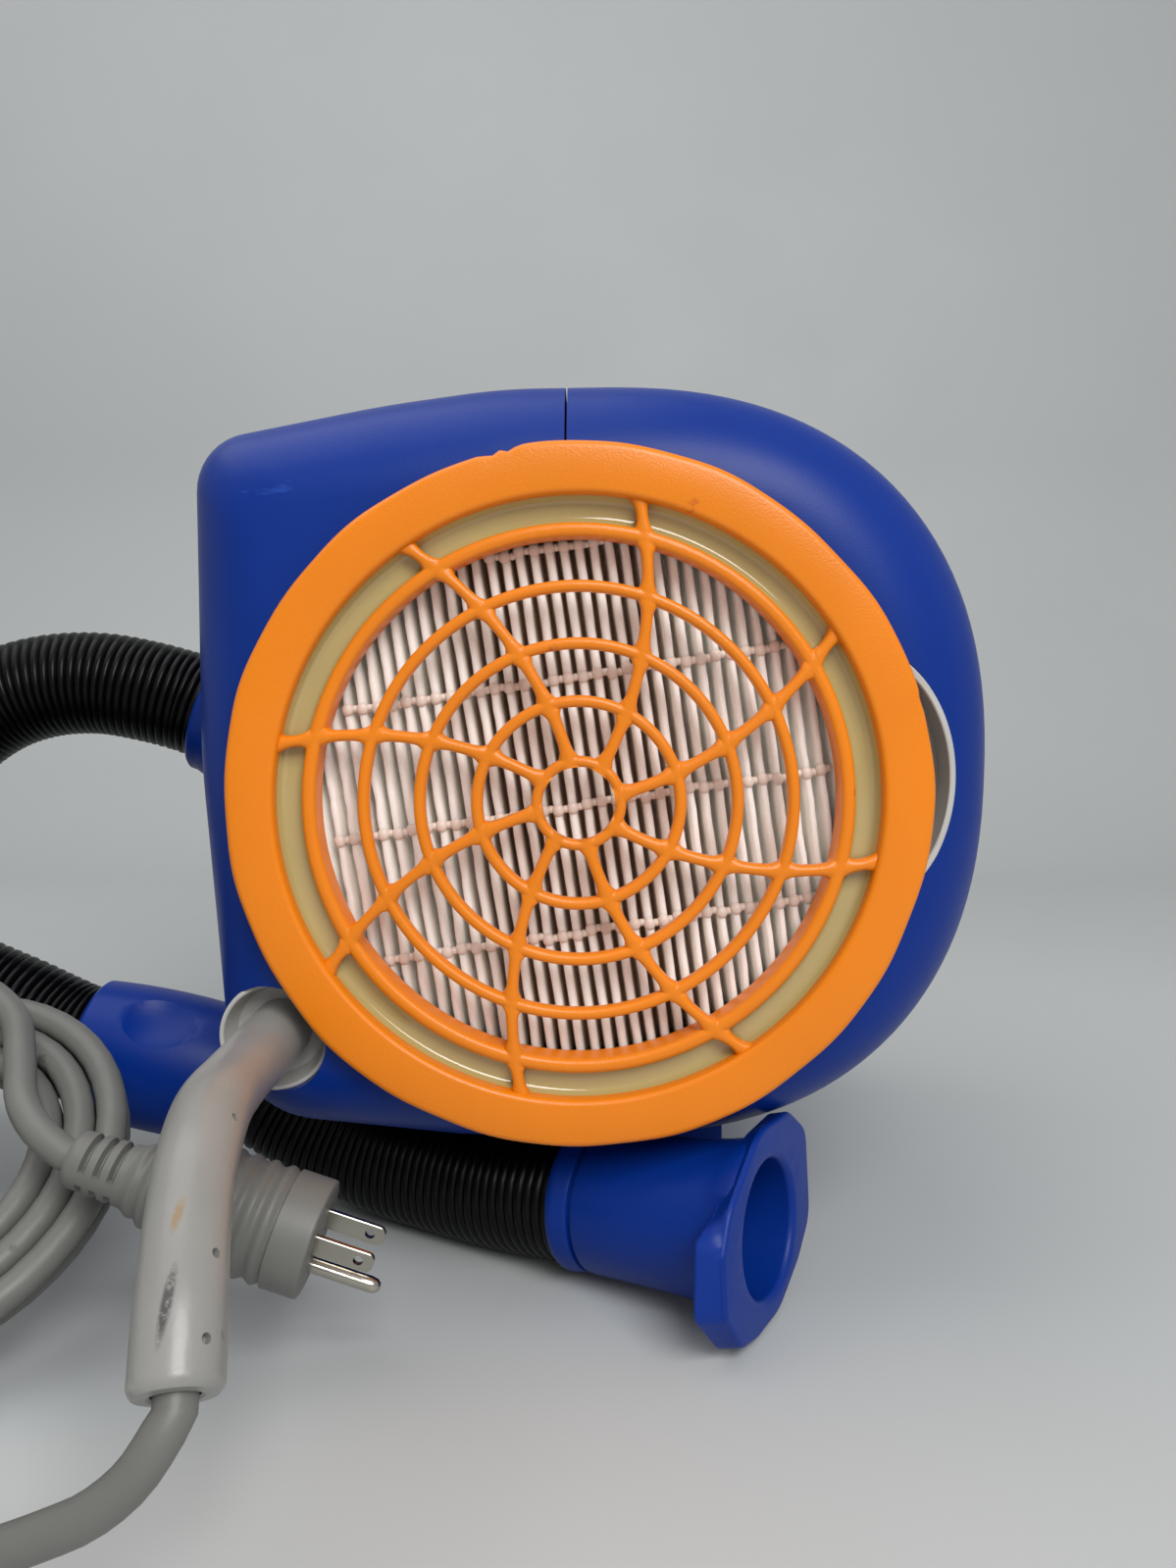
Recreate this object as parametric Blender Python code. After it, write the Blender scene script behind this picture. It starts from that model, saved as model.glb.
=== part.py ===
"""Warm-air dryer: blower case with a round filter cover, hose with nozzle, and mains cord.

Metres, +Z up. The model is drawn from the filter's axis (x = 0), the front of the filter
cover (y = 0) and the table (z = 0), and an empty then moves it so that the origin is under
the middle of the object.
"""
import math

import bmesh
import bpy
import numpy as np
from mathutils import Vector

for old in list(bpy.data.objects):
    bpy.data.objects.remove(old, do_unlink=True)

# ---------------------------------------------------------------- driving dimensions
GAP = 0.0003                # gap between pieces that touch
FIT = 0.0005                # clearance round pieces that slide or plug in

# filter cover and cartridge, on the filter's axis
AXIS_Z = 0.166              # height of the filter's axis above the table
COVER_R = 0.107             # outer radius of the orange flange ring
COVER_INNER_R = 0.0918      # inner radius of the flange ring
COVER_DEPTH = 0.0085        # how far the flange ring stands off the case
COVER_EDGE = 0.002          # rounding of the flange ring's rim
SKIRT_WALL = 0.0022         # wall of the skirt behind the flange ring
SKIRT_DEPTH = 0.043         # reach of the skirt behind the cover's front
BAR_WIDTH = 0.0036          # width of the bars of the grille
BAR_FRONT = 0.0022          # the bars lie this far behind the cover's front
BAR_BACK = 0.0060           # back of the bars
BAR_RINGS = (0.0144, 0.0327, 0.0500, 0.0670)    # outer radii of the thin rings
POTTING_WIDE = 0.0080       # width of the windows on the potting
RIM_RING_R = COVER_INNER_R - POTTING_WIDE       # outer radius of the fifth ring, a wall
RIM_RING_WALL = 0.0043      # its thickness
RIM_RING_BACK = 0.0125      # its back edge
STEP = 0.0003               # width of the cover's upright steps
SPOKES = 8
COVER_GAP_PARTS = 3         # facets of a ring between two spokes
ROUND_PARTS = 32            # facets round the filter's seat and potting
SPOKE_START = math.radians(-36.1)       # bearing of the first spoke at the centre
SPOKE_SWIRL = math.radians(270.0)       # turn of a spoke per metre of radius
POTTING_FRONT = 0.0063
PLEAT_PITCH = 0.0046
PLEAT_DEPTH = 0.011
PLEAT_FRONT = 0.0142
PLEAT_LEAN = math.radians(8.5)          # turn of the pleats about the axis
GASKET_THICK = 0.004
FILTER_TRAVEL = 0.060

# case
CASE_FRONT = 0.0090         # front plane of the case
CASE_BACK = 0.2600          # back plane of the case
CASE_WALL = 0.0030
CASE_RIGHT = 0.1340         # reach of the round side from the axis
CASE_LEFT = 0.1250          # reach of the flat side from the axis
CASE_TOP = 0.1310           # reach of the top above the axis
CASE_BOTTOM = 0.1170        # reach of the bottom below the axis
CASE_HALF = (CASE_TOP + CASE_BOTTOM) / 2        # half height of the round side
CASE_SQUARENESS = 2.35      # exponent of the round side's curve
TOP_FALL = 0.0165           # fall of the top edge to the upper left corner
LEFT_DRAW = 0.0080          # draw-in of the flat side at the lower left corner
OUTLINE_STEP = math.radians(13.0)       # largest step round the axis between outline points
BOTTOM_RISE = 0.0090        # rise of the bottom edge at the lower left corner
CORNER_HIGH_R = 0.014
CORNER_LOW_R = 0.032
FRONT_FILLET = 0.035
BACK_FILLET = 0.020
SEAM_X = -0.0040            # the seam plane between the two shells
SEAM_GAP = 0.0008
LAPS = 4                    # screwed laps on the back
LAP_LOW_INSET = 0.0330      # lowest lap above the case's bottom
LAP_HIGH_INSET = 0.0350     # highest lap below the case's top
LAP_REACH = 0.018
LAP_HALF_HIGH = 0.0080
SCREW_R = 0.0022
SCREW_HEAD_R = 0.0040
SCREW_HEAD = 0.0024

# finger notch beside the filter cover
NOTCH_BEARING = math.radians(8.4)
NOTCH_REACH = 0.0170        # how far the notch reaches beyond the case's mouth
NOTCH_R = 0.0532
NOTCH_WALL = 0.0016
NOTCH_DEPTH = 0.0180

# filter seat
SEAT_WALL = 0.0020
SEAT_LEDGE = 0.0120
SEAT_SET_BACK = 0.0045      # front of the seat behind the case's front plane

# base
BASE_LEFT = 0.1000
BASE_RIGHT = 0.0580
BASE_FRONT = 0.1200
BASE_BACK_INSET = 0.0100    # base in front of the case's back
BASE_LIFT = 0.0040
BASE_WALL = 0.0030
BASE_HOLD = 0.0130          # the base reaches this far above the case's bottom
FOOT_R = 0.0110
FOOT_INSET = 0.0180

# gland, sleeve and cord
GLAND_BEARING = math.radians(218.08)
GLAND_OUT = 0.02537         # the gland's axis outside the case's mouth
GLAND_R = 0.0178
GLAND_FRONT = 0.0150
GLAND_DISH = 0.0240
GLAND_BACK = 0.0340
BOSS_WALL = 0.0024
SLEEVE_R = 0.0098
SLEEVE_BORE_R = 0.0062
SOCKET_DEPTH = 0.0030       # the cord enters the sleeve's end by this
CORD_R = 0.00475
CORD_STRAIGHT = 0.0065      # straight step of the cord where it meets another piece
COIL_CENTRE = (-0.2120, 0.0125, 0.0441)
COIL_TILT = math.radians(35.0)
COIL_OUTER_R = 0.0680
COIL_PITCH = 0.0101
COIL_LOOPS = 6.25
COIL_LOOP_POINTS = 24

# plug
PLUG_TAIL = (-0.1480, -0.0170, 0.0640)
PLUG_FACE = (-0.0760, -0.0205, 0.0406)
PLUG_R = 0.0170
PLUG_TAIL_R = 0.0078
BLADE_LENGTH = 0.0180
BLADE_WIDTH = 0.0063
BLADE_THICK = 0.0015
BLADE_SPACING = 0.0127
PIN_R = 0.0024
PIN_LENGTH = 0.0215
PIN_DROP = 0.0119
PLUG_ROLL = math.radians(8.0)       # lifts the far blade

# hose, cuff, grip and nozzle
HOSE_R = 0.0220
HOSE_VALLEY_R = 0.0200
HOSE_BORE_R = 0.0160
HOSE_RIBS = 66
HOSE_STRAIGHT = 0.0100      # straight step of the hose at both ends
GRIP_R = 0.0268
GRIP_END_R = 0.0258
GRIP_BORE_R = 0.0227
GRIP_CENTRE = (-0.1595, 0.0942, 0.0552)
GRIP_HALF = 0.0305
GRIP_FALL = math.radians(12.9)
SCOOP_R = 0.0300
SCOOP_DEPTH = 0.0024
SCOOP_WAY = (0.10, -0.62, 0.78)     # direction of the thumb scoop from the grip's axis
NOZZLE_START = (-0.0090, 0.0465, 0.0243)
NOZZLE_FACE = (0.0605, 0.0065, 0.0305)
NOZZLE_BORE_R = 0.0226
NOZZLE_COLLAR_R = 0.0235
NOZZLE_COLLAR = 0.0120
NOZZLE_END_R = 0.0260
FLANGE_HALF_HIGH = 0.0298
FLANGE_HALF_WIDE = 0.0420
FLANGE_CORNER = 0.0200
FLANGE_THICK = 0.0062
SPIGOT_Z = 0.1800
SPIGOT_R = 0.0190
SPIGOT_WALL = 0.0020
SPIGOT_REACH = 0.1360
SPIGOT_FLANGE_R = 0.0270
CUFF_WALL = 0.0045

# blower
ROTOR_X = 0.0150
ROTOR_Z = 0.1380
IMPELLER_R = 0.0520
IMPELLER_HUB_R = 0.0150
IMPELLER_DEPTH = 0.0300
IMPELLER_PLATE = 0.0022
BLADES = 9
BLADE_WALL = 0.0020
BLADE_SWEEP = math.radians(38.0)
VOLUTE_DEPTH = 0.0440
VOLUTE_WALL = 0.0024
TIP_CLEAR = 0.0050          # between the blades' tips and the volute
INLET_R = 0.0300
INLET_LIP = 0.0060
MOTOR_R = 0.0330
MOTOR_LENGTH = 0.0460
MOTOR_PLATE_R = 0.0440
MOTOR_PLATE = 0.0030
MOTOR_SET = 0.0234          # motor's back in front of the case's back
SHAFT_R = 0.0040
SHAFT_CLEAR = 0.0003
SHAFT_ROOM = 0.0020         # round the shaft in the volute and the motor plate

# heater
DUCT_HALF = 0.0215
DUCT_WALL = 0.0012
HEATER_RIGHT = -0.0420
HEATER_LEFT = -0.0930
HEATER_WIRE_R = 0.0012
HEATER_COIL_R = 0.0133
HEATER_TURNS = 4

# controls, on the back
PANEL_X = 0.0560
PANEL_Z = 0.1760
PANEL_WIDE = 0.0860
PANEL_HIGH = 0.1060
PANEL_THICK = 0.0030
PANEL_CORNER = 0.0080
BOARD_INSET_X = 0.0050      # the board is smaller than the panel by this at each side
BOARD_INSET_Z = 0.0080
BOARD_THICK = 0.0016
BOARD_SET = 0.0140          # board's back in front of the case's back
SWITCH_DX = -0.0180
SWITCH_DZ = -0.0280
SWITCH_HALF_WIDE = 0.0080
SWITCH_HALF_HIGH = 0.0130
SWITCH_RIM = 0.0025
SWITCH_PROUD = 0.0030
SWITCH_DEPTH = 0.0125
ROCKER_TILT = math.radians(10.0)
KNOB_DX = 0.0120
KNOB_DZ = 0.0200
KNOB_R = 0.0190
KNOB_HIGH = 0.0140
KNOB_TURN = math.radians(135.0)
SPINDLE_R = 0.0030
LAMP_R = 0.0025
LAMP_PITCH = 0.0130

# what follows from these sizes: the seat's bore and the case's mouth fit round the cartridge, the
# notch and the gland lie beside the mouth, the blower hangs from the case's back, and the outlet
# is level with the middle of the blower
SEAT_R = (COVER_INNER_R + SKIRT_WALL + FIT) / math.cos(math.pi / ROUND_PARTS)
MOUTH_R = SEAT_R + SEAT_WALL + 3 * GAP
NOTCH_X = (MOUTH_R + NOTCH_REACH - NOTCH_R) * math.cos(NOTCH_BEARING)
NOTCH_UP = (MOUTH_R + NOTCH_REACH - NOTCH_R) * math.sin(NOTCH_BEARING)
GLAND_X = (MOUTH_R + GLAND_OUT) * math.cos(GLAND_BEARING)
GLAND_Z = AXIS_Z + (MOUTH_R + GLAND_OUT) * math.sin(GLAND_BEARING)
VOLUTE_START_R = IMPELLER_R + TIP_CLEAR
VOLUTE_FRONT = CASE_BACK - MOTOR_SET - MOTOR_LENGTH - MOTOR_PLATE - 2 * GAP - VOLUTE_DEPTH
SPIGOT_Y = VOLUTE_FRONT + VOLUTE_DEPTH / 2
BASE_BACK = CASE_BACK - BASE_BACK_INSET
BASE_TOP = AXIS_Z - CASE_BOTTOM + BASE_HOLD
LAP_LOW = AXIS_Z - CASE_BOTTOM + LAP_LOW_INSET
LAP_HIGH = AXIS_Z + CASE_TOP - LAP_HIGH_INSET
LAP_Z = [LAP_LOW + (LAP_HIGH - LAP_LOW) * k / (LAPS - 1) for k in range(LAPS)]

# where the origin lies in the drawing
SHIFT_X = (SPIGOT_REACH - CASE_RIGHT) / 2
SHIFT_Y = -(CASE_BACK + GAP + PANEL_THICK + KNOB_HIGH) / 2

# the mains cord from the sleeve's end to the coil, and from the coil to the plug
SLEEVE_ROUTE = (
    (-0.0970, 0.0257, 0.0900),
    (-0.0970, 0.0000, 0.0900),
    (-0.0963, -0.0300, 0.0915),
    (-0.0940, -0.0580, 0.0925),
    (-0.0895, -0.0860, 0.0860),
    (-0.0850, -0.1070, 0.0730),
    (-0.0820, -0.1210, 0.0580),
)
RUN_ROUTE = (
    (-0.0840, -0.1260, 0.0510),
    (-0.0890, -0.1280, 0.0440),
    (-0.0970, -0.1290, 0.0375),
    (-0.1060, -0.1285, 0.0330),
    (-0.1210, -0.1260, 0.0260),
    (-0.1410, -0.1190, 0.0160),
    (-0.1580, -0.1060, 0.0090),
    (-0.1690, -0.0880, 0.0059),
    (-0.1780, -0.0680, 0.0055),
    (-0.1920, -0.0520, 0.0053),
)
LEAD_ROUTE = (
    (-0.2726, 0.0332, 0.0757),
    (-0.2465, 0.0503, 0.0944),
    (-0.2120, 0.0473, 0.0990),
    (-0.1875, 0.0306, 0.0922),
    (-0.1760, 0.0105, 0.0832),
    (-0.1680, -0.0055, 0.0762),
    (-0.1590, -0.0140, 0.0700),
)
# the hose from the cuff, round its loop on the table, through the grip to the nozzle
CUFF_REACH = 0.0260         # the cuff's end beyond the spigot and above it
CUFF_LIFT = 0.0090
CUFF_END = (-SPIGOT_REACH - CUFF_REACH, SPIGOT_Y, SPIGOT_Z + CUFF_LIFT)
ROUTE_START = (-0.1620, 0.1650, 0.1890)     # the cuff's end for which the route was laid
FOLLOW_POINTS = 10          # points of the route that move with the cuff, less and less
CUFF_RISE = math.radians(20.0)
HOSE_ROUTE = (
    (-0.1860, 0.1640, 0.1965),
    (-0.2090, 0.1630, 0.2005),
    (-0.2320, 0.1610, 0.1990),
    (-0.2520, 0.1585, 0.1920),
    (-0.2720, 0.1550, 0.1770),
    (-0.2890, 0.1500, 0.1530),
    (-0.3010, 0.1455, 0.1220),
    (-0.3090, 0.1390, 0.0950),
    (-0.3150, 0.1300, 0.0700),
    (-0.3190, 0.1150, 0.0490),
    (-0.3215, 0.0940, 0.0340),
    (-0.3220, 0.0660, 0.0255),
    (-0.3205, 0.0350, 0.0225),
    (-0.3200, -0.0000, 0.0223),
    (-0.3388, -0.0700, 0.0223),
    (-0.3900, -0.1212, 0.0223),
    (-0.4600, -0.1400, 0.0223),
    (-0.5300, -0.1212, 0.0223),
    (-0.5812, -0.0700, 0.0223),
    (-0.6000, -0.0000, 0.0223),
    (-0.5812, 0.0700, 0.0223),
    (-0.5300, 0.1212, 0.0223),
    (-0.4600, 0.1400, 0.0223),
    (-0.4210, 0.1320, 0.0290),
    (-0.3840, 0.1120, 0.0520),
    (-0.3480, 0.0950, 0.0800),
    (-0.3080, 0.0870, 0.0980),
    (-0.2660, 0.0910, 0.0940),
    (-0.2230, 0.0950, 0.0760),
    (-0.2040, 0.0950, 0.0670),
)
AFTER_GRIP = (
    (-0.1180, 0.0925, 0.0430),
    (-0.1080, 0.0910, 0.0375),
    (-0.0920, 0.0870, 0.0300),
    (-0.0730, 0.0800, 0.0245),
    (-0.0500, 0.0695, 0.0224),
    (-0.0280, 0.0575, 0.0224),
)

# colours, linear
BLUE = (0.0116, 0.0497, 0.3419)
ORANGE = (0.8714, 0.2423, 0.0212)
TAN = (0.5457, 0.4452, 0.1878)
PAPER = (0.8069, 0.6867, 0.6308)
GREY = (0.3564, 0.3564, 0.3325)
LIGHT_GREY = (0.5149, 0.5029, 0.4793)
BLACK = (0.0052, 0.0052, 0.0060)
METAL = (0.4851, 0.4564, 0.3231)
STEEL = (0.5500, 0.5600, 0.5700)
COPPER = (0.6000, 0.2600, 0.1300)
MICA = (0.6000, 0.5200, 0.3600)
BOARD = (0.0200, 0.2000, 0.0700)
RED = (0.6500, 0.0250, 0.0200)
GREEN = (0.0500, 0.5500, 0.1200)


# ---------------------------------------------------------------- helpers
def material(name, colour, roughness, metallic=0.0):
    """A Principled material of one colour."""
    mat = bpy.data.materials.new(name)
    mat.use_nodes = True
    shader = mat.node_tree.nodes["Principled BSDF"]
    shader.inputs["Base Color"].default_value = (*colour, 1.0)
    shader.inputs["Roughness"].default_value = roughness
    shader.inputs["Metallic"].default_value = metallic
    mat.diffuse_color = (*colour, 1.0)
    return mat


frame = bpy.data.objects.new("dryer_frame", None)
frame.location = (SHIFT_X, SHIFT_Y, 0.0)
bpy.context.scene.collection.objects.link(frame)


def pivot(name, place):
    """An empty on a joint's axis, at a place in the drawing."""
    empty = bpy.data.objects.new(name, None)
    empty.location = place
    empty.parent = frame
    bpy.context.scene.collection.objects.link(empty)
    return empty


def add_object(name, verts, faces, mat, parent=frame):
    """A mesh object with its faces turned outwards; verts are places in the drawing."""
    offset = np.zeros(3) if parent is frame else np.array(parent.location)
    mesh = bpy.data.meshes.new(name)
    mesh.from_pydata([tuple(np.asarray(v, float) - offset) for v in verts], [], faces)
    work = bmesh.new()
    work.from_mesh(mesh)
    bmesh.ops.recalc_face_normals(work, faces=work.faces)
    work.to_mesh(mesh)
    work.free()
    if mat:
        mesh.materials.append(mat)
    obj = bpy.data.objects.new(name, mesh)
    obj.parent = parent
    bpy.context.scene.collection.objects.link(obj)
    return obj


def finish(obj, angle=40.0):
    """Smooth shading with sharp edges past an angle in degrees."""
    obj.data.shade_smooth()
    obj.data.set_sharp_from_angle(angle=math.radians(angle))
    return obj


def combine(obj, cutter, operation="DIFFERENCE"):
    """Apply an exact Boolean and remove the cutter."""
    cutter.hide_render = True
    cutter.display_type = "WIRE"
    modifier = obj.modifiers.new("cut", "BOOLEAN")
    modifier.object = cutter
    modifier.operation = operation
    modifier.solver = "EXACT"
    bpy.context.view_layer.update()
    evaluated = obj.evaluated_get(bpy.context.evaluated_depsgraph_get())
    mesh = bpy.data.meshes.new_from_object(evaluated)
    obj.modifiers.clear()
    obj.data = mesh
    bpy.data.objects.remove(cutter, do_unlink=True)
    return obj


def unit_frame(direction, up=(0.0, 0.0, 1.0)):
    """Three unit vectors: along the direction, across it, and the third of the set."""
    along = Vector(direction).normalized()
    across = Vector(up).cross(along)
    if across.length < 1e-6:
        across = Vector((1.0, 0.0, 0.0))
    across.normalize()
    return along, across, along.cross(across)


def lathe(name, profile, base, direction, mat, steps=32, parent=frame, closed=True):
    """Turn a profile of (radius, distance along) about an axis.

    A closed profile makes a ring; an open one must start and end at radius 0.
    """
    along, across, third = unit_frame(direction)
    base = Vector(base)
    verts = []
    rings = []
    for radius, reach in profile:
        if radius <= 0.0:
            rings.append([len(verts)] * steps)
            verts.append(base + along * reach)
            continue
        rings.append(list(range(len(verts), len(verts) + steps)))
        for step in range(steps):
            turn = 2 * math.pi * step / steps
            out = across * math.cos(turn) + third * math.sin(turn)
            verts.append(base + along * reach + out * radius)
    faces = []
    pairs = list(zip(rings, rings[1:]))
    if closed:
        pairs.append((rings[-1], rings[0]))
    for ring, nxt in pairs:
        for step in range(steps):
            other = (step + 1) % steps
            loop = (ring[step], ring[other], nxt[other], nxt[step])
            corners = list(dict.fromkeys(loop))
            if len(corners) > 2:
                faces.append(corners)
    return add_object(name, verts, faces, mat, parent)


def disc(name, radius, base, direction, length, mat, steps=32, parent=frame):
    """A plain round bar."""
    profile = [(0.0, 0.0), (radius, 0.0), (radius, length), (0.0, length)]
    return lathe(name, profile, base, direction, mat, steps, parent, closed=False)


def box(name, low, high, mat, parent=frame):
    """A block between two corners."""
    (x0, y0, z0), (x1, y1, z1) = low, high
    verts = [(x, y, z) for x in (x0, x1) for y in (y0, y1) for z in (z0, z1)]
    faces = [(0, 1, 3, 2), (4, 6, 7, 5), (0, 4, 5, 1), (2, 3, 7, 6), (0, 2, 6, 4), (1, 5, 7, 3)]
    return add_object(name, verts, faces, mat, parent)


def prism(name, outline, base, along, across, length, mat, parent=frame):
    """Push an outline of (across, third) pairs along a direction; third = along x across."""
    along = Vector(along).normalized()
    across = Vector(across).normalized()
    third = along.cross(across)
    base = Vector(base)
    count = len(outline)
    verts = [base + across * a + third * b for a, b in outline]
    verts += [v + along * length for v in verts]
    faces = [tuple(range(count)), tuple(range(2 * count - 1, count - 1, -1))]
    for i in range(count):
        j = (i + 1) % count
        faces.append((i, j, j + count, i + count))
    return add_object(name, verts, faces, mat, parent)


def facing_prism(name, outline_xz, front, depth, mat, parent=frame):
    """Push an outline of (x, z) pairs back from a front plane."""
    verts = [(x, front, z) for x, z in outline_xz] + [(x, front + depth, z) for x, z in outline_xz]
    count = len(outline_xz)
    faces = [tuple(range(count)), tuple(range(2 * count - 1, count - 1, -1))]
    faces += [(i, (i + 1) % count, (i + 1) % count + count, i + count) for i in range(count)]
    return add_object(name, verts, faces, mat, parent)


def rounded(points, radii, steps):
    """Corner points joined by arcs; radii holds one for each corner, steps one or one each."""
    line = []
    count = len(points)
    parts = [steps] * count if isinstance(steps, int) else steps
    for i, radius in enumerate(radii):
        here = Vector(points[i])
        if radius <= 0.0:
            line.append(tuple(here))
            continue
        back = (Vector(points[i - 1]) - here).normalized()
        ahead = (Vector(points[(i + 1) % count]) - here).normalized()
        half = back.angle(ahead) / 2
        reach = radius / math.tan(half)
        centre = here + (back + ahead).normalized() * (radius / math.sin(half))
        start = here + back * reach - centre
        end = here + ahead * reach - centre
        sweep = start.angle(end)
        for k in range(parts[i] + 1):
            share = k / parts[i]
            arm = start * math.sin((1 - share) * sweep) + end * math.sin(share * sweep)
            line.append(tuple(centre + arm / math.sin(sweep)))
    return line


def rounded_box_outline(x, z, half_wide, half_high, corner, steps=3):
    """A rectangle of (x, z) pairs with round corners."""
    corners = [(x - half_wide, z - half_high), (x + half_wide, z - half_high),
               (x + half_wide, z + half_high), (x - half_wide, z + half_high)]
    return rounded(corners, [corner] * 4, steps)


def smooth_line(points, spacing):
    """Points at even spacing on a smooth curve through the given ones (centripetal spline)."""
    pts = [Vector(p) for p in points]
    pts = [pts[0] * 2 - pts[1]] + pts + [pts[-1] * 2 - pts[-2]]
    dense = []
    for i in range(1, len(pts) - 2):
        p0, p1, p2, p3 = pts[i - 1:i + 3]
        t1 = (p1 - p0).length ** 0.5
        t2 = t1 + (p2 - p1).length ** 0.5
        t3 = t2 + (p3 - p2).length ** 0.5
        for k in range(24):
            t = t1 + (t2 - t1) * k / 24
            a1 = p0 * ((t1 - t) / t1) + p1 * (t / t1)
            a2 = p1 * ((t2 - t) / (t2 - t1)) + p2 * ((t - t1) / (t2 - t1))
            a3 = p2 * ((t3 - t) / (t3 - t2)) + p3 * ((t - t2) / (t3 - t2))
            b1 = a1 * ((t2 - t) / t2) + a2 * (t / t2)
            b2 = a2 * ((t3 - t) / (t3 - t1)) + a3 * ((t - t1) / (t3 - t1))
            dense.append(b1 * ((t2 - t) / (t2 - t1)) + b2 * ((t - t1) / (t2 - t1)))
    dense.append(pts[-2])
    dense = np.array([tuple(p) for p in dense])
    steps = np.linalg.norm(np.diff(dense, axis=0), axis=1)
    reach = np.concatenate([[0.0], np.cumsum(steps)])
    count = max(2, int(round(reach[-1] / spacing))) + 1
    marks = np.linspace(0.0, reach[-1], count)
    return np.stack([np.interp(marks, reach, dense[:, k]) for k in range(3)], axis=1)


def line_length(points):
    return float(np.linalg.norm(np.diff(points, axis=0), axis=1).sum())


def tube(name, points, radii, resolution, mat, parent=frame):
    """A round tube along points, as a curve with filled caps; radii is a number or one each."""
    curve = bpy.data.curves.new(name, "CURVE")
    curve.dimensions = "3D"
    curve.bevel_depth = 1.0
    curve.bevel_resolution = resolution
    curve.use_fill_caps = True
    spline = curve.splines.new("POLY")
    spline.points.add(len(points) - 1)
    sizes = [radii] * len(points) if isinstance(radii, float) else radii
    for target, place, size in zip(spline.points, points, sizes):
        target.co = (*place, 1.0)
        target.radius = size
    curve.materials.append(mat)
    obj = bpy.data.objects.new(name, curve)
    obj.parent = parent
    bpy.context.scene.collection.objects.link(obj)
    return obj


def tube_mesh(name, points, radii, resolution, mat, parent=frame):
    """The same tube as a mesh, for Booleans."""
    guide = tube(name + "_guide", points, radii, resolution, mat, parent)
    bpy.context.view_layer.update()
    evaluated = guide.evaluated_get(bpy.context.evaluated_depsgraph_get())
    mesh = bpy.data.meshes.new_from_object(evaluated)
    work = bmesh.new()
    work.from_mesh(mesh)
    bmesh.ops.remove_doubles(work, verts=work.verts, dist=1e-6)
    bmesh.ops.recalc_face_normals(work, faces=work.faces)
    work.to_mesh(mesh)
    work.free()
    obj = bpy.data.objects.new(name, mesh)
    obj.parent = parent
    bpy.context.scene.collection.objects.link(obj)
    bpy.data.objects.remove(guide, do_unlink=True)
    return obj


def least_gap(points, diameter, skip):
    """The least clear distance between stretches of one tube further apart than skip."""
    steps = np.linalg.norm(np.diff(points, axis=0), axis=1)
    reach = np.concatenate([[0.0], np.cumsum(steps)])
    least = 1.0
    for i in range(len(points)):
        far = reach > reach[i] + skip
        if far.any():
            apart = np.linalg.norm(points[far] - points[i], axis=1).min()
            least = min(least, apart - diameter)
    return least


# ---------------------------------------------------------------- materials
blue_plastic = material("blue_plastic", BLUE, 0.42)
orange_rubber = material("orange_rubber", ORANGE, 0.50)
tan_resin = material("tan_resin", TAN, 0.15)
filter_paper = material("filter_paper", PAPER, 0.90)
grey_plastic = material("grey_plastic", LIGHT_GREY, 0.45)
grey_vinyl = material("grey_vinyl", GREY, 0.55)
sleeve_vinyl = material("sleeve_vinyl", LIGHT_GREY, 0.40)
black_hose = material("black_hose", BLACK, 0.35)
black_foam = material("black_foam", BLACK, 0.95)
black_rubber = material("black_rubber", BLACK, 0.80)
black_plastic = material("black_plastic", BLACK, 0.45)
nickel = material("nickel", METAL, 0.30, 1.0)
steel = material("steel", STEEL, 0.40, 1.0)
heater_wire = material("heater_wire", COPPER, 0.50, 1.0)
mica = material("mica", MICA, 0.60)
board_green = material("board_green", BOARD, 0.50)
lamp_red = material("lamp_red", RED, 0.20)
lamp_green = material("lamp_green", GREEN, 0.20)


# ---------------------------------------------------------------- case outline
def case_outline():
    """The case seen from the front, as (x, height above the axis), from the top round the left."""
    centre_x = CASE_RIGHT - CASE_HALF
    centre_z = CASE_TOP - CASE_HALF
    bottom = -CASE_BOTTOM
    corners = [
        (centre_x, CASE_TOP),
        (-0.35 * CASE_LEFT, CASE_TOP - 0.0010),
        (-CASE_LEFT + 0.0020, CASE_TOP - TOP_FALL),
        (-CASE_LEFT, 0.0100),
        (-CASE_LEFT + LEFT_DRAW, bottom + BOTTOM_RISE),
        (-0.30 * CASE_LEFT, bottom),
        (centre_x, bottom),
    ]
    line = rounded(corners, [0.0, 0.080, CORNER_HIGH_R, 0.300, CORNER_LOW_R, 0.120, 0.0],
                   (0, 2, 3, 2, 4, 2, 0))
    steps = 14
    for k in range(1, steps):
        turn = -math.pi / 2 + math.pi * k / steps
        x = abs(math.cos(turn)) ** (2 / CASE_SQUARENESS)
        z = abs(math.sin(turn)) ** (2 / CASE_SQUARENESS)
        line.append((centre_x + CASE_HALF * x, centre_z + math.copysign(CASE_HALF * z, turn)))
    fine = []
    for i, (x0, z0) in enumerate(line):
        x1, z1 = line[(i + 1) % len(line)]
        step = math.atan2(z1, x1) - math.atan2(z0, x0)
        step = abs(math.atan2(math.sin(step), math.cos(step)))
        parts = max(1, math.ceil(step / OUTLINE_STEP))
        fine += [(x0 + (x1 - x0) * k / parts, z0 + (z1 - z0) * k / parts) for k in range(parts)]
    return fine


FRONT_PARTS = 4             # facets of the front fillet
BACK_PARTS = 2              # facets of the back fillet


def back_sections(inset, back, fillet, parts):
    """Pairs of (inset from the outline, y) from the side over the back fillet."""
    turns = [math.pi / 2 * k / parts for k in range(parts + 1)]
    return [(inset + fillet * (1 - math.cos(t)), back - fillet * (1 - math.sin(t))) for t in turns]


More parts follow.
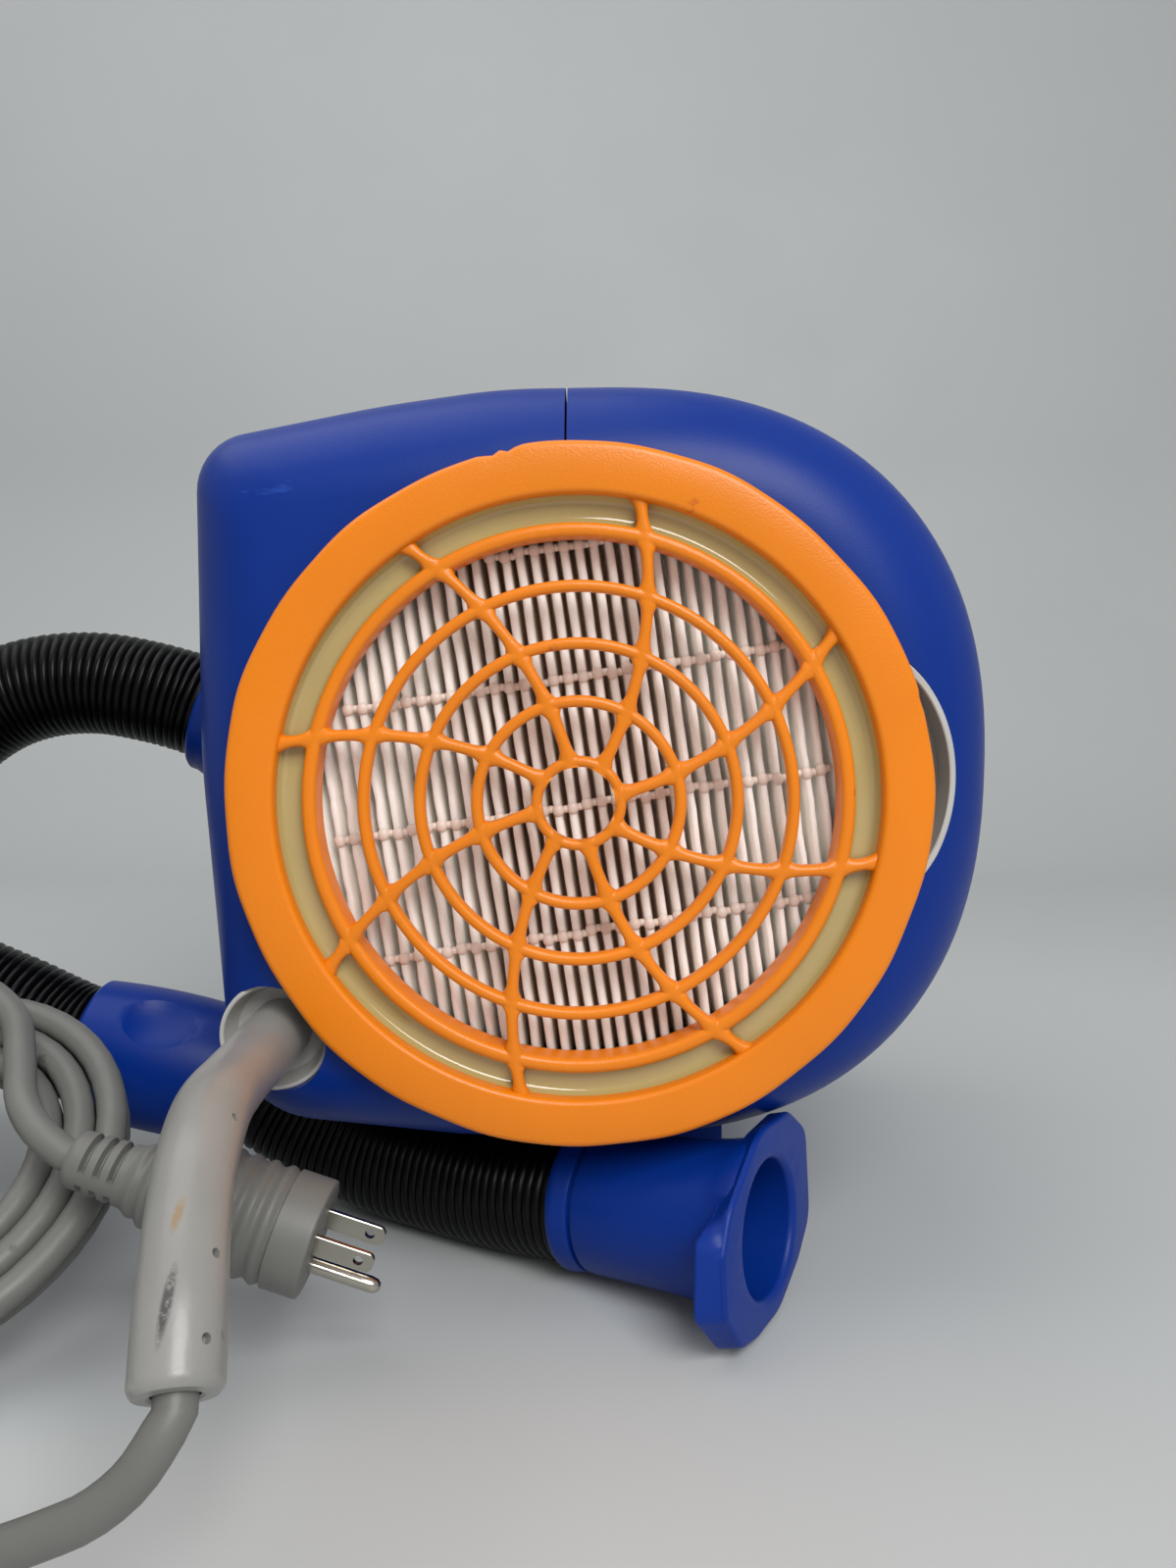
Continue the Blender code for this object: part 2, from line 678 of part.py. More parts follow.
def front_sections(inset, front, fillet, parts):
    """Pairs of (inset from the outline, y) from the front plane over the front fillet."""
    turns = [math.pi / 2 * k / parts for k in range(parts + 1)]
    return [(inset + fillet * (1 - math.sin(t)), front + fillet * (1 - math.cos(t))) for t in turns]


def case_rings(pairs):
    """Rings of points for the pairs: each outline point is drawn in towards the axis."""
    rings = []
    for inset, y in pairs:
        ring = []
        for x, z in case_outline():
            reach = math.hypot(x, z)
            share = (reach - inset) / reach
            ring.append((x * share, y, AXIS_Z + z * share))
        rings.append(ring)
    return rings


def skin(rings, name, mat, closed_start, closed_end, join=False):
    """A surface through rings of like count, with end caps or joined to itself."""
    count = len(rings[0])
    verts = [p for ring in rings for p in ring]
    faces = []
    spans = len(rings) if join else len(rings) - 1
    for r in range(spans):
        s = (r + 1) % len(rings)
        for i in range(count):
            j = (i + 1) % count
            faces.append((r * count + i, r * count + j, s * count + j))
            faces.append((r * count + i, s * count + j, s * count + i))
    if closed_start:
        faces.append(tuple(range(count)))
    if closed_end:
        last = (len(rings) - 1) * count
        faces.append(tuple(range(last + count - 1, last - 1, -1)))
    return add_object(name, verts, faces, mat)


# Flat that is left between the case's mouth and the front fillet.
MOUTH_LAND = 0.0005


def front_rings(wall, parts):
    """Rings from the round mouth over the front fillet to the side, drawn in by a wall."""
    fillet = FRONT_FILLET - wall
    front = CASE_FRONT + wall
    rings = [[] for _ in range(parts + 2)]
    for x, z in case_outline():
        reach = math.hypot(x, z)
        side = reach - wall
        room = min(fillet, side - MOUTH_R - MOUTH_LAND)
        start = math.asin(1 - room / fillet)
        for k in range(parts + 1):
            turn = start + (math.pi / 2 - start) * k / parts
            radius = side - fillet * (1 - math.sin(turn))
            y = front + fillet * (1 - math.cos(turn))
            if k == 0:
                rings[0].append((x / reach * MOUTH_R, y, AXIS_Z + z / reach * MOUTH_R))
            rings[k + 1].append((x / reach * radius, y, AXIS_Z + z / reach * radius))
    return rings


def case_solid(name):
    """The hollow case before it is split, open at the round mouth."""
    outer = front_rings(0.0, FRONT_PARTS)
    outer += case_rings(back_sections(0.0, CASE_BACK, BACK_FILLET, BACK_PARTS))
    inner = front_rings(CASE_WALL, FRONT_PARTS // 2)
    inner += case_rings(back_sections(CASE_WALL, CASE_BACK - CASE_WALL, BACK_FILLET - CASE_WALL, 1))
    return skin(inner[::-1] + outer, name, blue_plastic, True, True)


def case_block(name, grow):
    """The case's outer form as a solid, grown by a gap, for cutting what lies against it."""
    pairs = front_sections(-grow, CASE_FRONT - grow, FRONT_FILLET, FRONT_PARTS)
    pairs += back_sections(-grow, CASE_BACK + grow, BACK_FILLET, BACK_PARTS)
    return skin(case_rings(pairs), name, None, True, True)


FAR = 0.5                   # reach of cutting blocks
notch_centre = (NOTCH_X, AXIS_Z + NOTCH_UP)


def half_case(name, side):
    """One shell: side -1 is the left, +1 the right."""
    shell = case_solid(name)
    edge = SEAM_X + side * SEAM_GAP / 2
    low, high = (edge, FAR) if side < 0 else (-FAR, edge)
    return combine(shell, box("seam_cut", (low, -FAR, -FAR), (high, FAR, FAR), None))


panel_back = CASE_BACK + GAP + PANEL_THICK
switch_x = PANEL_X + SWITCH_DX
switch_z = PANEL_Z + SWITCH_DZ
knob_x = PANEL_X + KNOB_DX
knob_z = PANEL_Z + KNOB_DZ
BACKWARD = (0.0, 1.0, 0.0)

# ---------------------------------------------------------------- left shell
left_shell = half_case("left_shell", -1)
boss = disc("boss", GLAND_R + FIT + BOSS_WALL, (GLAND_X, GLAND_FRONT - 0.0012, GLAND_Z), BACKWARD,
            GLAND_BACK - GLAND_FRONT + 0.0012, None, 20)
combine(left_shell, boss, "UNION")
gland_hole = disc("gland_hole", GLAND_R + FIT, (GLAND_X, -FAR, GLAND_Z), BACKWARD,
                  FAR + GLAND_BACK + 0.02, None, 20)
combine(left_shell, gland_hole)
spigot_hole = disc("spigot_hole", SPIGOT_R + FIT, (-FAR, SPIGOT_Y, SPIGOT_Z), (1, 0, 0),
                   FAR - CASE_LEFT / 2, None, 20)
combine(left_shell, spigot_hole)
for lap_z in LAP_Z:
    hole = disc("screw_hole", SCREW_R + FIT, (SEAM_X - LAP_REACH / 2, CASE_BACK - 0.02, lap_z),
                BACKWARD, 0.04, None, 16)
    combine(left_shell, hole)
finish(left_shell)

# ---------------------------------------------------------------- right shell, with its laps
right_shell = half_case("right_shell", 1)
lap_front = CASE_BACK - CASE_WALL - 0.0060
for lap_z in LAP_Z:
    lap = box("lap", (SEAM_X - LAP_REACH, lap_front, lap_z - LAP_HALF_HIGH),
              (SEAM_X + SEAM_GAP + 0.006, CASE_BACK - CASE_WALL - GAP, lap_z + LAP_HALF_HIGH), None)
    root_half = LAP_HALF_HIGH - 0.001
    root = box("lap_root", (SEAM_X + SEAM_GAP / 2 + 0.0006, lap_front + 0.0010, lap_z - root_half),
               (SEAM_X + SEAM_GAP + 0.005, CASE_BACK - CASE_WALL / 2, lap_z + root_half), None)
    combine(lap, root, "UNION")
    combine(right_shell, lap, "UNION")
    hole = disc("screw_hole", SCREW_R + GAP, (SEAM_X - LAP_REACH / 2, CASE_BACK - 0.02, lap_z),
                BACKWARD, 0.04, None, 16)
    combine(right_shell, hole)
notch = disc("notch", NOTCH_R + GAP, (notch_centre[0], -0.02, notch_centre[1]), BACKWARD,
             0.02 + CASE_FRONT + NOTCH_DEPTH, None, 48)
combine(right_shell, notch)
switch_hole = facing_prism(
    "switch_hole", rounded_box_outline(switch_x, switch_z, SWITCH_HALF_WIDE + GAP,
                                       SWITCH_HALF_HIGH + GAP, 0.001), CASE_BACK - 0.02, 0.04, None)
combine(right_shell, switch_hole)
spindle_hole = disc("spindle_hole", SPINDLE_R + FIT, (knob_x, CASE_BACK - 0.02, knob_z), BACKWARD,
                    0.04, None, 16)
combine(right_shell, spindle_hole)
finish(right_shell)

# ---------------------------------------------------------------- finger cup at the notch


def case_front_at(x, z):
    """The y of the case's front surface at a point (x, height above the axis)."""
    line = case_outline()
    bearing = math.atan2(z, x)
    reach = 0.0
    for i in range(len(line)):
        (x0, z0), (x1, z1) = line[i - 1], line[i]
        a0 = math.atan2(z0, x0) - bearing
        a0 = math.atan2(math.sin(a0), math.cos(a0))
        a1 = math.atan2(z1, x1) - bearing
        a1 = math.atan2(math.sin(a1), math.cos(a1))
        if abs(a0) < 0.5 and abs(a1) < 0.5 and a0 * a1 <= 0.0 and a0 != a1:
            share = a0 / (a0 - a1)
            reach = math.hypot(x0 + (x1 - x0) * share, z0 + (z1 - z0) * share)
    inset = reach - math.hypot(x, z)
    if inset >= FRONT_FILLET:
        return CASE_FRONT
    return CASE_FRONT + FRONT_FILLET - math.sqrt(FRONT_FILLET ** 2 - (FRONT_FILLET - inset) ** 2)


CUP_INNER_R = MOUTH_R + 0.0010      # the cup's side next to the filter seat
CUP_PROUD = 0.0012                  # the cup's lip stands off the case by this
CUP_HALF_STEPS = 8


def crescent(wall):
    """Points round the crescent between the notch's circle and the filter's, drawn in by a wall."""
    lean = math.atan2(NOTCH_UP, NOTCH_X)
    apart = math.hypot(NOTCH_X, NOTCH_UP)
    big = NOTCH_R - wall
    small = CUP_INNER_R + wall
    about_axis = math.acos((small ** 2 + apart ** 2 - big ** 2) / (2 * small * apart)) * 0.80
    inner = []
    for k in range(2 * CUP_HALF_STEPS + 1):
        turn = lean + about_axis * (k / CUP_HALF_STEPS - 1)
        inner.append((small * math.cos(turn), small * math.sin(turn)))
    outer = []
    for x, z in inner:
        bearing = math.atan2(z, x)
        along = NOTCH_X * math.cos(bearing) + NOTCH_UP * math.sin(bearing)
        cross = NOTCH_X * math.sin(bearing) - NOTCH_UP * math.cos(bearing)
        reach = along + math.sqrt(big ** 2 - cross ** 2)
        outer.append((reach * math.cos(bearing), reach * math.sin(bearing)))
    return inner + outer[::-1]


def cup_lip(x, z):
    """The y of the cup's lip: flush under the cover's flange, and proud of the case beyond it."""
    beyond = (math.hypot(x, z) - COVER_R - 0.0010) / 0.0040
    return case_front_at(x, z) - CUP_PROUD * min(1.0, max(0.0, beyond))


cup_back = CASE_FRONT + NOTCH_DEPTH - GAP
cup_rings = [
    [(x, cup_back, AXIS_Z + z) for x, z in crescent(0.0)],
    [(x, cup_lip(x, z), AXIS_Z + z) for x, z in crescent(0.0)],
    [(x, cup_lip(x, z), AXIS_Z + z) for x, z in crescent(NOTCH_WALL)],
    [(x, cup_back - NOTCH_WALL, AXIS_Z + z) for x, z in crescent(NOTCH_WALL)],
]
finish(skin(cup_rings, "finger_cup", grey_plastic, True, True))

# ---------------------------------------------------------------- case screws
for index, lap_z in enumerate(LAP_Z):
    profile = [(0.0, -0.0095), (SCREW_R, -0.0095), (SCREW_R, GAP), (SCREW_HEAD_R, GAP),
               (SCREW_HEAD_R, SCREW_HEAD * 0.6), (SCREW_HEAD_R * 0.75, SCREW_HEAD), (0.0, SCREW_HEAD)]
    screw = lathe("case_screw_%d" % (index + 1), profile,
                  (SEAM_X - LAP_REACH / 2, CASE_BACK, lap_z), BACKWARD, steel, 8, closed=False)
    finish(screw)

# ---------------------------------------------------------------- base and feet
base = box("base_plinth", (-BASE_LEFT, BASE_FRONT, BASE_LIFT), (BASE_RIGHT, BASE_BACK, BASE_TOP),
           blue_plastic)
combine(base, box("inside", (-BASE_LEFT + BASE_WALL, BASE_FRONT + BASE_WALL, BASE_LIFT + BASE_WALL),
                  (BASE_RIGHT - BASE_WALL, BASE_BACK - BASE_WALL, BASE_TOP + 0.01), None))
combine(base, case_block("case_above", GAP))
finish(base)
foot_places = {
    "foot_front_left": (-BASE_LEFT + FOOT_INSET, BASE_FRONT + FOOT_INSET),
    "foot_front_right": (BASE_RIGHT - FOOT_INSET, BASE_FRONT + FOOT_INSET),
    "foot_rear_left": (-BASE_LEFT + FOOT_INSET, BASE_BACK - FOOT_INSET),
    "foot_rear_right": (BASE_RIGHT - FOOT_INSET, BASE_BACK - FOOT_INSET),
}
for name, (x, y) in foot_places.items():
    height = BASE_LIFT - GAP
    profile = [(0.0, 0.0), (FOOT_R - 0.0010, 0.0), (FOOT_R, 0.0010), (FOOT_R, height), (0.0, height)]
    finish(lathe(name, profile, (x, y, 0.0), (0, 0, 1), black_rubber, 14, closed=False))

# ---------------------------------------------------------------- gland and sleeve
profile = [(SLEEVE_BORE_R, GLAND_BACK), (SLEEVE_BORE_R, GLAND_DISH + 0.0020),
           (SLEEVE_R + 0.0035, GLAND_DISH + 0.0020), (GLAND_R - 0.0030, GLAND_DISH - 0.0040),
           (GLAND_R - 0.0018, GLAND_FRONT), (GLAND_R, GLAND_FRONT), (GLAND_R, GLAND_BACK)]
gland = lathe("gland_flange", profile, (GLAND_X, 0.0, GLAND_Z), BACKWARD, grey_plastic, 20)
finish(gland)

sleeve_points = smooth_line(SLEEVE_ROUTE, 0.0120)
sleeve_points[0] = (GLAND_X, GLAND_DISH + 0.0020 - GAP, GLAND_Z)
sleeve = tube_mesh("bend_relief", sleeve_points, SLEEVE_R, 3, sleeve_vinyl)
end = Vector(sleeve_points[-1])
end_way = (end - Vector(sleeve_points[-2])).normalized()
socket = disc("socket", SLEEVE_BORE_R, end - end_way * SOCKET_DEPTH, end_way, 0.02, None, 12)
combine(sleeve, socket)
sleeve.data.materials.append(sleeve_vinyl)
finish(sleeve)

# ---------------------------------------------------------------- mains cord
coil_slope = Vector((0.0, math.cos(COIL_TILT), math.sin(COIL_TILT)))
coil_normal = Vector((0.0, -math.sin(COIL_TILT), math.cos(COIL_TILT)))
coil_across = Vector((1.0, 0.0, 0.0))


def coil_line():
    """A two-layer coil: in at a steady rate, up one layer in half a turn, and out again."""
    points = []
    count = int(COIL_LOOPS * COIL_LOOP_POINTS)
    for k in range(count + 1):
        turns = k / COIL_LOOP_POINTS
        inward = min(turns, COIL_LOOPS - turns)
        radius = COIL_OUTER_R - COIL_PITCH * inward
        climb = min(1.0, max(0.0, (turns - COIL_LOOPS / 2 + 0.25) / 0.5))
        turn = -math.pi / 2 - 2 * math.pi * turns
        place = Vector(COIL_CENTRE) + coil_normal * (COIL_PITCH * climb)
        place += coil_across * (radius * math.cos(turn)) + coil_slope * (radius * math.sin(turn))
        points.append(tuple(place))
    return np.array(points)


coil_points = coil_line()
print("coil: %.3f m, least gap to itself %.2f mm"
      % (line_length(coil_points), least_gap(coil_points, 2 * CORD_R, COIL_OUTER_R) * 1000))
tube("power_cord_coil", coil_points, CORD_R, 1, grey_vinyl)

coil_way_in = Vector(coil_points[0] - coil_points[1]).normalized()
coil_way_out = Vector(coil_points[-1] - coil_points[-2]).normalized()
coil_in = Vector(coil_points[0])
coil_out = Vector(coil_points[-1])
plug_way = (Vector(PLUG_FACE) - Vector(PLUG_TAIL)).normalized()
plug_tail = Vector(PLUG_TAIL)


def cord_between(start, start_way, route, stop, stop_way):
    """Points of a cord that leaves and arrives straight, with a gap to what it meets."""
    inner = [start + start_way * CORD_STRAIGHT, *[Vector(p) for p in route],
             stop - stop_way * CORD_STRAIGHT]
    return np.vstack([start + start_way * GAP, smooth_line(inner, 0.0120), stop - stop_way * GAP])


run_points = cord_between(end - end_way * SOCKET_DEPTH, end_way, RUN_ROUTE, coil_in, -coil_way_in)
tube("power_cord_run", run_points, CORD_R, 2, grey_vinyl)
lead_points = cord_between(coil_out, coil_way_out, LEAD_ROUTE, plug_tail, plug_way)
tube("power_cord_lead", lead_points, CORD_R, 2, grey_vinyl)
cord_total = line_length(run_points) + line_length(coil_points) + line_length(lead_points)
print("mains cord: %.3f m in all" % cord_total)

# ---------------------------------------------------------------- cord tie on the coil's far side
tie_turn = math.radians(200.0)
tie_in = COIL_OUTER_R - COIL_PITCH * (COIL_LOOPS / 2) - CORD_R - 0.0012
tie_out = COIL_OUTER_R + COIL_PITCH * 0.5 + CORD_R + 0.0012
tie_low = -CORD_R - 0.0008
tie_high = COIL_PITCH + CORD_R + 0.0012
radial = coil_across * math.cos(tie_turn) + coil_slope * math.sin(tie_turn)
tangent = coil_across * -math.sin(tie_turn) + coil_slope * math.cos(tie_turn)
TIE_WIDE = 0.0120
TIE_WALL = 0.0012


def tie_ring(grow):
    """The strap's section across the coil: a rectangle with round corners."""
    middle = (tie_in + tie_out) / 2
    half = (tie_out - tie_in) / 2 + grow
    mid_high = (tie_low + tie_high) / 2
    half_high = (tie_high - tie_low) / 2 + grow
    return rounded_box_outline(middle, mid_high, half, half_high, 0.0035 + grow, 2)


tie_verts = []
for grow in (0.0, TIE_WALL):
    for side in (-0.5, 0.5):
        for a, b in tie_ring(grow):
            place = Vector(COIL_CENTRE) + radial * a + coil_normal * b + tangent * (side * TIE_WIDE)
            tie_verts.append(place)
ring_count = len(tie_ring(0.0))
tie_faces = []
for first, second in ((0, 1), (1, 3), (3, 2), (2, 0)):
    for i in range(ring_count):
        j = (i + 1) % ring_count
        a, b = first * ring_count, second * ring_count
        tie_faces.append((a + i, a + j, b + j, b + i))
finish(add_object("cord_tie", tie_verts, tie_faces, black_rubber))

# ---------------------------------------------------------------- plug
plug_length = (Vector(PLUG_FACE) - Vector(PLUG_TAIL)).length
profile = [(0.0, 0.0), (PLUG_TAIL_R - 0.0006, 0.0), (PLUG_TAIL_R, 0.0010), (0.0092, 0.0260)]
for ridge in range(4):
    start = 0.0270 + ridge * 0.0042
    rise = 0.0110 + ridge * 0.0021
    profile += [(rise, start), (rise + 0.0012, start + 0.0014), (rise, start + 0.0028)]
profile += [(PLUG_R - 0.0008, 0.0440)]
for ridge in range(3):
    start = 0.0455 + ridge * 0.0046
    profile += [(PLUG_R, start + 0.0012), (PLUG_R - 0.0012, start + 0.0034)]
profile += [(PLUG_R, 0.0600), (PLUG_R, plug_length - 0.0010), (PLUG_R - 0.0010, plug_length),
            (0.0, plug_length)]
plug = lathe("plug_body", profile, PLUG_TAIL, plug_way, grey_vinyl, 12, closed=False)
finish(plug, 30.0)
plug_along, level_side, third = unit_frame(plug_way)
plug_side = level_side * math.cos(PLUG_ROLL) + third * math.sin(PLUG_ROLL)
plug_down = level_side * math.sin(PLUG_ROLL) - third * math.cos(PLUG_ROLL)
face_point = Vector(PLUG_FACE) + plug_along * GAP
for name, side in (("plug_blade_left", 1), ("plug_blade_right", -1)):
    base_point = face_point + plug_side * (side * BLADE_SPACING / 2) - plug_down * 0.0030
    half_t = BLADE_THICK / 2
    half_w = BLADE_WIDTH / 2
    outline = [(-half_t, -half_w), (half_t, -half_w), (half_t, half_w), (-half_t, half_w)]
    blade = prism(name, outline, base_point, plug_along, plug_side, BLADE_LENGTH, nickel)
    hole_at = base_point + plug_along * (BLADE_LENGTH - 0.0045) - plug_side * 0.01
    combine(blade, disc("blade_hole", 0.0015, hole_at, plug_side, 0.02, None, 12))
    blade.data.materials.append(nickel)
pin_at = face_point + plug_down * (PIN_DROP - 0.0030)
profile = [(0.0, 0.0), (PIN_R, 0.0), (PIN_R, PIN_LENGTH - 0.0022), (PIN_R * 0.75, PIN_LENGTH - 0.0006),
           (0.0, PIN_LENGTH)]
finish(lathe("plug_ground_pin", profile, pin_at, plug_along, nickel, 12, closed=False))

# ---------------------------------------------------------------- filter cartridge
cartridge = pivot("cartridge_slide", (0.0, 0.0, AXIS_Z))


def grille():
    """The cover as one web on a grid of bearings and radii, with swirled spokes."""
    rows = [(BAR_RINGS[0] - BAR_WIDTH + 0.0003, BAR_FRONT, BAR_BACK, True)]
    rows.append((BAR_RINGS[0], BAR_FRONT, BAR_BACK, False))
    for radius in BAR_RINGS[1:]:
        rows.append((radius - BAR_WIDTH, BAR_FRONT, BAR_BACK, True))
        rows.append((radius, BAR_FRONT, BAR_BACK, False))
    rows.append((RIM_RING_R - RIM_RING_WALL - STEP, BAR_FRONT, BAR_BACK, False))
    rows.append((RIM_RING_R - RIM_RING_WALL, BAR_FRONT, RIM_RING_BACK, True))
    rows.append((RIM_RING_R, BAR_FRONT, RIM_RING_BACK, False))
    rows.append((RIM_RING_R + STEP, BAR_FRONT, BAR_BACK, False))
    rows.append((COVER_INNER_R - STEP, BAR_FRONT, BAR_BACK, False))
    rows.append((COVER_INNER_R, COVER_EDGE, SKIRT_DEPTH, True))
    rows.append((COVER_INNER_R + SKIRT_WALL - 0.0002, 0.0002, SKIRT_DEPTH, True))
    rows.append((COVER_INNER_R + SKIRT_WALL, 0.0, COVER_DEPTH, True))
    rows.append((COVER_R - COVER_EDGE, 0.0, COVER_DEPTH, True))
    rows.append((COVER_R, COVER_EDGE, COVER_DEPTH - COVER_EDGE, False))
    gap_columns = COVER_GAP_PARTS
    columns = SPOKES * (gap_columns + 1)
    tops = []
    bottoms = []
    verts = []
    for index, (radius, front, back, _) in enumerate(rows):
        half = math.asin(min(0.9, BAR_WIDTH / 2 / radius))
        top_row = []
        bottom_row = []
        for column in range(columns):
            spoke, part = divmod(column, gap_columns + 1)
            middle = SPOKE_START + SPOKE_SWIRL * radius + 2 * math.pi * spoke / SPOKES
            span = 2 * math.pi / SPOKES - 2 * half
            turn = middle - half if part == 0 else middle + half + span * (part - 1) / gap_columns
            x = radius * math.cos(turn)
            z = AXIS_Z + radius * math.sin(turn)
            top_row.append(len(verts))
            verts.append((x, front, z))
            bottom_row.append(len(verts))
            verts.append((x, back, z))
        tops.append(top_row)
        bottoms.append(bottom_row)
    faces = []
    filled = [[rows[r][3] or c % (gap_columns + 1) == 0 for c in range(columns)]
              for r in range(len(rows) - 1)]
    for r in range(len(rows) - 1):
        for c in range(columns):
            if not filled[r][c]:
                continue
            d = (c + 1) % columns
            faces.append((tops[r][c], tops[r][d], tops[r + 1][d], tops[r + 1][c]))
            faces.append((bottoms[r][c], bottoms[r + 1][c], bottoms[r + 1][d], bottoms[r][d]))
            if r == 0 or not filled[r - 1][c]:
                faces.append((tops[r][c], bottoms[r][c], bottoms[r][d], tops[r][d]))
            if r == len(rows) - 2 or not filled[r + 1][c]:
                faces.append((tops[r + 1][c], tops[r + 1][d], bottoms[r + 1][d], bottoms[r + 1][c]))
            if not filled[r][c - 1]:
                faces.append((tops[r][c], tops[r + 1][c], bottoms[r + 1][c], bottoms[r][c]))
            if not filled[r][d]:
                faces.append((tops[r][d], bottoms[r][d], bottoms[r + 1][d], tops[r + 1][d]))
    return verts, faces


grille_verts, grille_faces = grille()
cover = add_object("grille_frame", grille_verts, grille_faces, orange_rubber, cartridge)
finish(cover)

potting_in = (RIM_RING_R + STEP + GAP) / math.cos(math.pi / ROUND_PARTS)
potting_out = COVER_INNER_R * math.cos(math.pi / SPOKES / COVER_GAP_PARTS) - STEP - GAP
profile = [(potting_in, POTTING_FRONT), (potting_in, SKIRT_DEPTH), (potting_out, SKIRT_DEPTH),
           (potting_out, POTTING_FRONT)]
potting = lathe("potting_ring", profile, (0, 0, AXIS_Z), BACKWARD, tan_resin, ROUND_PARTS,
                cartridge)


def pleats():
    """A disc of V pleats with a flat back, on chords of the circle."""
    radius = RIM_RING_R - RIM_RING_WALL - GAP
    count = int(2 * radius / PLEAT_PITCH)
    marks = [(k - count) * PLEAT_PITCH / 2 for k in range(2 * count + 1)]
    verts = []
    for index, mark in enumerate(marks):
        reach = math.sqrt(max(radius ** 2 - mark ** 2, 0.0006 ** 2))
        depth = PLEAT_FRONT + (PLEAT_DEPTH if index % 2 else 0.0)
        for side in (-1, 1):
            for y in (depth, SKIRT_DEPTH - 0.004):
                x = mark * math.cos(PLEAT_LEAN) - side * reach * math.sin(PLEAT_LEAN)
                z = mark * math.sin(PLEAT_LEAN) + side * reach * math.cos(PLEAT_LEAN)
                verts.append((x, y, AXIS_Z + z))
    faces = []
    for k in range(len(marks) - 1):
        a, b = 4 * k, 4 * (k + 1)
        faces.append((a, b, b + 2, a + 2))
        faces.append((a + 1, a + 3, b + 3, b + 1))
        faces.append((a, a + 1, b + 1, b))
        faces.append((a + 2, b + 2, b + 3, a + 3))
    last = 4 * (len(marks) - 1)
    faces.append((0, 2, 3, 1))
    faces.append((last, last + 1, last + 3, last + 2))
    return verts, faces


pleat_verts, pleat_faces = pleats()
add_object("pleat_pack", pleat_verts, pleat_faces, filter_paper, cartridge)
gasket_out = COVER_INNER_R + SKIRT_WALL - 0.0010
gasket_front = SKIRT_DEPTH + GAP
profile = [(RIM_RING_R, gasket_front), (gasket_out, gasket_front),
           (gasket_out, gasket_front + GASKET_THICK), (RIM_RING_R, gasket_front + GASKET_THICK)]
lathe("filter_gasket", profile, (0, 0, AXIS_Z), BACKWARD, black_foam, 32, cartridge)

# ---------------------------------------------------------------- filter seat
ledge_front = gasket_front + GASKET_THICK + GAP
seat_front = CASE_FRONT + SEAT_SET_BACK
profile = [(SEAT_R, seat_front), (SEAT_R, ledge_front), (SEAT_R - SEAT_LEDGE, ledge_front),
           (SEAT_R - SEAT_LEDGE, ledge_front + SEAT_WALL),
           (SEAT_R + SEAT_WALL, ledge_front + SEAT_WALL), (SEAT_R + SEAT_WALL, seat_front)]
finish(lathe("filter_seat", profile, (0, 0, AXIS_Z), BACKWARD, grey_plastic, ROUND_PARTS))

# ---------------------------------------------------------------- blower
volute_back = VOLUTE_FRONT + VOLUTE_DEPTH
duct_top = SPIGOT_Z + DUCT_HALF
duct_bottom = SPIGOT_Z - DUCT_HALF


def scroll(grow, duct_left):
    """Closed outline of (x, z): duct, then round the rotor from the top to the cut-off."""
    top = duct_top + grow
    bottom = duct_bottom - grow
    line = [(duct_left, bottom), (duct_left, top)]
    steps = 20
    first = math.pi / 2
    for k in range(steps + 1):
        share = k / steps
        turn = first - share * math.radians(282.0)
        full = top - ROTOR_Z
        least = VOLUTE_START_R + grow
        radius = full + (least - full) * share
        line.append((ROTOR_X + radius * math.cos(turn), ROTOR_Z + radius * math.sin(turn)))
    line.append((ROTOR_X - (VOLUTE_START_R + grow) * 0.88, bottom))
    return line


volute = facing_prism("volute", scroll(VOLUTE_WALL, HEATER_RIGHT), VOLUTE_FRONT, VOLUTE_DEPTH,
                      black_plastic)
combine(volute, facing_prism("volute_inside", scroll(0.0, HEATER_RIGHT - 0.02), VOLUTE_FRONT - 0.01,
                             VOLUTE_DEPTH + 0.01 - VOLUTE_WALL, None))
shaft_hole = disc("shaft_hole", SHAFT_R + SHAFT_ROOM, (ROTOR_X, VOLUTE_FRONT, ROTOR_Z), BACKWARD,
                  FAR, None, 20)
combine(volute, shaft_hole)
finish(volute)
inlet = facing_prism("inlet_plate", scroll(VOLUTE_WALL, HEATER_RIGHT), VOLUTE_FRONT - GAP - 0.0025,
                     0.0025, black_plastic)
profile = [(INLET_R, -INLET_LIP), (INLET_R + 0.0040, -INLET_LIP - 0.0010), (INLET_R + 0.0080, -0.0010),
           (INLET_R + 0.0080, 0.0010), (INLET_R, 0.0010)]
lip = lathe("lip", profile, (ROTOR_X, VOLUTE_FRONT - GAP - 0.0015, ROTOR_Z), BACKWARD, None, 20)
combine(inlet, disc("inlet_hole", INLET_R + 0.0030, (ROTOR_X, 0.0, ROTOR_Z), BACKWARD, FAR, None, 20))
combine(inlet, lip, "UNION")
finish(inlet)

rotor = pivot("rotor_axis", (ROTOR_X, VOLUTE_FRONT, ROTOR_Z))
impeller_back = volute_back - VOLUTE_WALL - 0.0030


